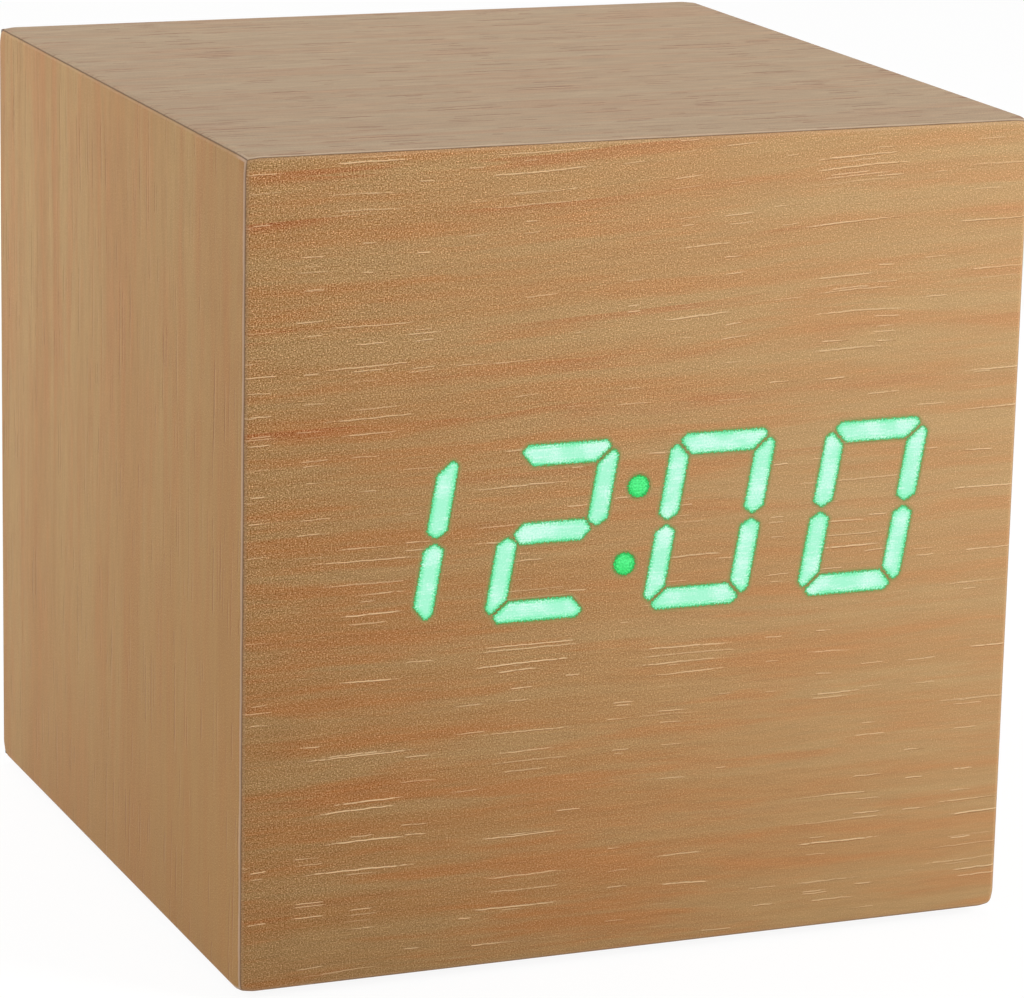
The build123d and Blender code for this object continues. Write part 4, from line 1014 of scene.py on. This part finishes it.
# %% [markdown]
# ## The back
# The cover, its door and the buttons are moulded in black plastic. A mould never leaves a knife
# edge, so a merged copy of each solid gets narrow rounded edges. The shading directions that came
# with the solid don't fit the merged copy and are dropped, so that flat faces look flat. The copy
# stands in for the solid, which is hidden but keeps its place. The copy stands for the solid,
# which keeps its place for collisions.

# %% Soften the edges of the moulded black parts
same_place, same_plane, least_turn = 0.002 * MM, math.radians(1), math.radians(35)


def softened(node, body, material, width):
    """A merged copy of a node with a narrow rounding on every edge that turns by 35 degrees."""
    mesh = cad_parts[node].data.copy()
    mesh.name = "moulded_" + node
    loaded_shading = mesh.attributes.get("custom_normal")
    if loaded_shading:
        mesh.attributes.remove(loaded_shading)
    shape = bmesh.new()
    shape.from_mesh(mesh)
    bmesh.ops.remove_doubles(shape, verts=shape.verts, dist=same_place)
    bmesh.ops.dissolve_limit(
        shape, angle_limit=same_plane, verts=shape.verts, edges=shape.edges
    )
    shape.to_mesh(mesh)
    shape.free()
    mesh.materials.clear()
    mesh.materials.append(material)
    mesh.polygons.foreach_set("use_smooth", np.full(len(mesh.polygons), True))
    piece = in_scene("moulded_" + node, mesh)
    bevel = piece.modifiers.new("rounding", "BEVEL")
    bevel.width = width * MM
    bevel.segments = 2
    bevel.limit_method = "ANGLE"
    bevel.angle_limit = least_turn
    bevel.harden_normals = True
    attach(piece, body)
    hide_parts(node)


softened("rear_cover", "clock_case", case_black, 0.12)
softened("battery_door", "door", case_black, 0.12)
softened("power_socket", "clock_case", button_black, 0.1)
for key in ("set", "up", "down"):
    softened(key + "_button", key + "_key", button_black, 0.06)

# %% [markdown]
# ## The battery springs
# Each spring is one steel wire wound into a cone. A tube is carried along the winding: at every
# station a small circle is laid square to the wire's direction.

# %% Wind the three springs
wire, length, base, tip, turns = 0.5, 4.2, 3.4, 2.2, 3
seat = wire / 2 + 0.02
stations, corners = 40 * turns, 12


def wound_wire(start_x, way, y, z):
    """Tube along a cone: x = rise * share, radius shrinks with share, angle = turns * share."""
    share = np.linspace(0, 1, stations)
    angle = 2 * math.pi * turns * share
    radius = base + (tip - base) * share
    along = seat + (length - 2 * seat) * share
    line = np.stack([along, radius * np.cos(angle), radius * np.sin(angle)], axis=1)
    run = np.gradient(line, axis=0)
    run /= np.linalg.norm(run, axis=1)[:, None]
    out = np.stack([np.zeros_like(angle), np.cos(angle), np.sin(angle)], axis=1)
    out -= run * (out * run).sum(axis=1)[:, None]
    out /= np.linalg.norm(out, axis=1)[:, None]
    side = np.cross(run, out)
    around = np.linspace(0, 2 * math.pi, corners, endpoint=False)
    ring = out[:, None] * np.cos(around)[:, None] + side[:, None] * np.sin(around)[:, None]
    tube = (line[:, None] + ring * wire / 2).reshape(-1, 3)
    points = np.concatenate([tube, line[[0, -1]]])
    points[:, :2] *= way
    points += np.array([start_x, y, z])
    here, there = np.arange(corners), np.roll(np.arange(corners), -1)
    tip_point, last = np.full(corners, len(tube)), (stations - 1) * corners
    first_cap = np.stack([there, here, tip_point], axis=1)
    last_cap = np.stack([last + here, last + there, tip_point + 1], axis=1)
    sides = between_rows(stations, corners)[:, ::-1]
    return points, np.concatenate([sides, first_cap, last_cap])


contact_low, contact_high = (np.array(corner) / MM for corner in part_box("battery_springs"))
spring_steel = metal("spring_steel", (196, 198, 202), 0.28, "x")
parts = []
for n in (1, 2, 3):
    low, high = (np.array(corner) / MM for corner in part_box(f"aaa_cell_{n}"))
    middle = (low + high) / 2 - case_middle
    plus_left = middle[0] < 0
    start_x = contact_high[0] if plus_left else contact_low[0]
    parts.append(wound_wire(start_x, -1 if plus_left else 1, middle[1], middle[2]))
points, faces = joined(parts)
springs = make_piece(
    "wound_springs", points, faces, "clock_case", "battery_springs"
)
springs.data.materials.append(spring_steel)
print("springs start at", contact_low[0], contact_high[0], "triangles", len(faces))

# %% [markdown]
# ## Stage
# The clock stands on a plain white floor in soft light, as for a catalogue. The floor and the sky
# are plain white to the camera and to anything that mirrors them, while the sky lights the clock
# with about a third of that.

# %% Floor and sky
floor_half = 4.0
floor_white, sky_white = [0.95, 0.95, 0.95, 1.0], [1.0, 0.99, 0.97, 1.0]


def white_stage(network, plain, kind, share, strength):
    """Mixes a plain white glow into a surface for the camera and for mirrors only."""
    rays = network.node("LightPath").outputs
    seen = Value(network, rays["Is Camera Ray"])
    for ray in ("Is Glossy Ray", "Is Transmission Ray"):
        seen = seen.at_least(Value(network, rays[ray]))
    white = network.node(kind, {}, {"Color": (255, 255, 255), "Strength": strength})
    shaders = {0: seen * share, 1: plain.outputs[0], 2: white.outputs[0]}
    return network.node("MixShader", {}, shaders).outputs[0]


floor_mesh = bpy.data.meshes.new("floor")
floor_corners = ((-1, -1), (1, -1), (1, 1), (-1, 1))
floor_points = [(x * floor_half, y * floor_half, 0.0) for x, y in floor_corners]
floor_mesh.from_pydata(floor_points, [], [(0, 1, 2, 3)])
floor = in_scene("floor", floor_mesh)
floor_mesh.materials.append(bpy.data.materials.new("floor_paint"))
paint = Network(floor_mesh.materials[0])
plain = paint.node("BsdfDiffuse", {}, {"Color": floor_white})
paint.node("OutputMaterial", {}, {0: white_stage(paint, plain, "Emission", 0.88, 1.04)})

bpy.context.scene.world = bpy.data.worlds.new("studio")
sky = Network(bpy.context.scene.world)
plain = sky.node("Background", {}, {"Color": sky_white, "Strength": 0.36})
sky.node("OutputWorld", {}, {0: white_stage(sky, plain, "Background", 1.0, 1.0)})

# %% [markdown]
# A lamp near the right front makes the front brighter towards its upper right, one at the left
# rear does the same for the left side, and a weak one hangs above. They are wide, so shadows
# have soft edges.

# %% Lamps
clock_centre = Vector((0, 0, 0.035))


def lamp(name, place, size, power, colour):
    """A square soft lamp that looks at the middle of the clock."""
    data = bpy.data.lights.new(name, "AREA")
    data.size = size
    data.energy = power
    data.color = colour
    aim = (clock_centre - Vector(place)).to_track_quat("-Z", "Y").to_matrix().to_4x4()
    in_scene(name, data).matrix_world = Matrix.Translation(place) @ aim


lamp("lamp_right_front", (0.40, -0.38, 0.32), 0.22, 2.5, (1.0, 0.985, 0.96))
lamp("lamp_left_back", (-0.42, 0.16, 0.30), 0.2, 1.25, (1.0, 0.98, 0.95))
lamp("lamp_above", (0.12, 0.3, 0.9), 0.5, 1.15, (0.98, 0.99, 1.0))

# %% [markdown]
# The camera stands where the photograph was taken from: a little above the clock and to its
# left, about 0.4 metres away, tilted slightly, with a long lens. Its place follows from where the
# seven visible corners of the cube fall in the picture.

# %% Camera
camera_place = Vector((-150.13, -372.15, 133.1)) * MM
focal_length, sensor_width = 166.1, 36.0
azimuth, elevation, roll = (math.radians(angle) for angle in (-22.324, 14.278, 1.241))
back = Vector((
    math.sin(azimuth) * math.cos(elevation),
    -math.cos(azimuth) * math.cos(elevation),
    math.sin(elevation),
))
right = Vector((0, 0, 1)).cross(back).normalized()
axes = Matrix((right, back.cross(right), back)).transposed() @ Matrix.Rotation(roll, 3, "Z")
camera = in_scene("camera", bpy.data.cameras.new("camera"))
camera.matrix_world = Matrix.Translation(camera_place) @ axes.to_4x4()
camera.data.lens = focal_length
camera.data.sensor_width = sensor_width
camera.data.sensor_fit = "HORIZONTAL"
camera.data.clip_start = 0.01
bpy.context.scene.camera = camera
bpy.context.scene.view_settings.view_transform = "Standard"
print("camera", [round(number, 3) for number in camera.location])
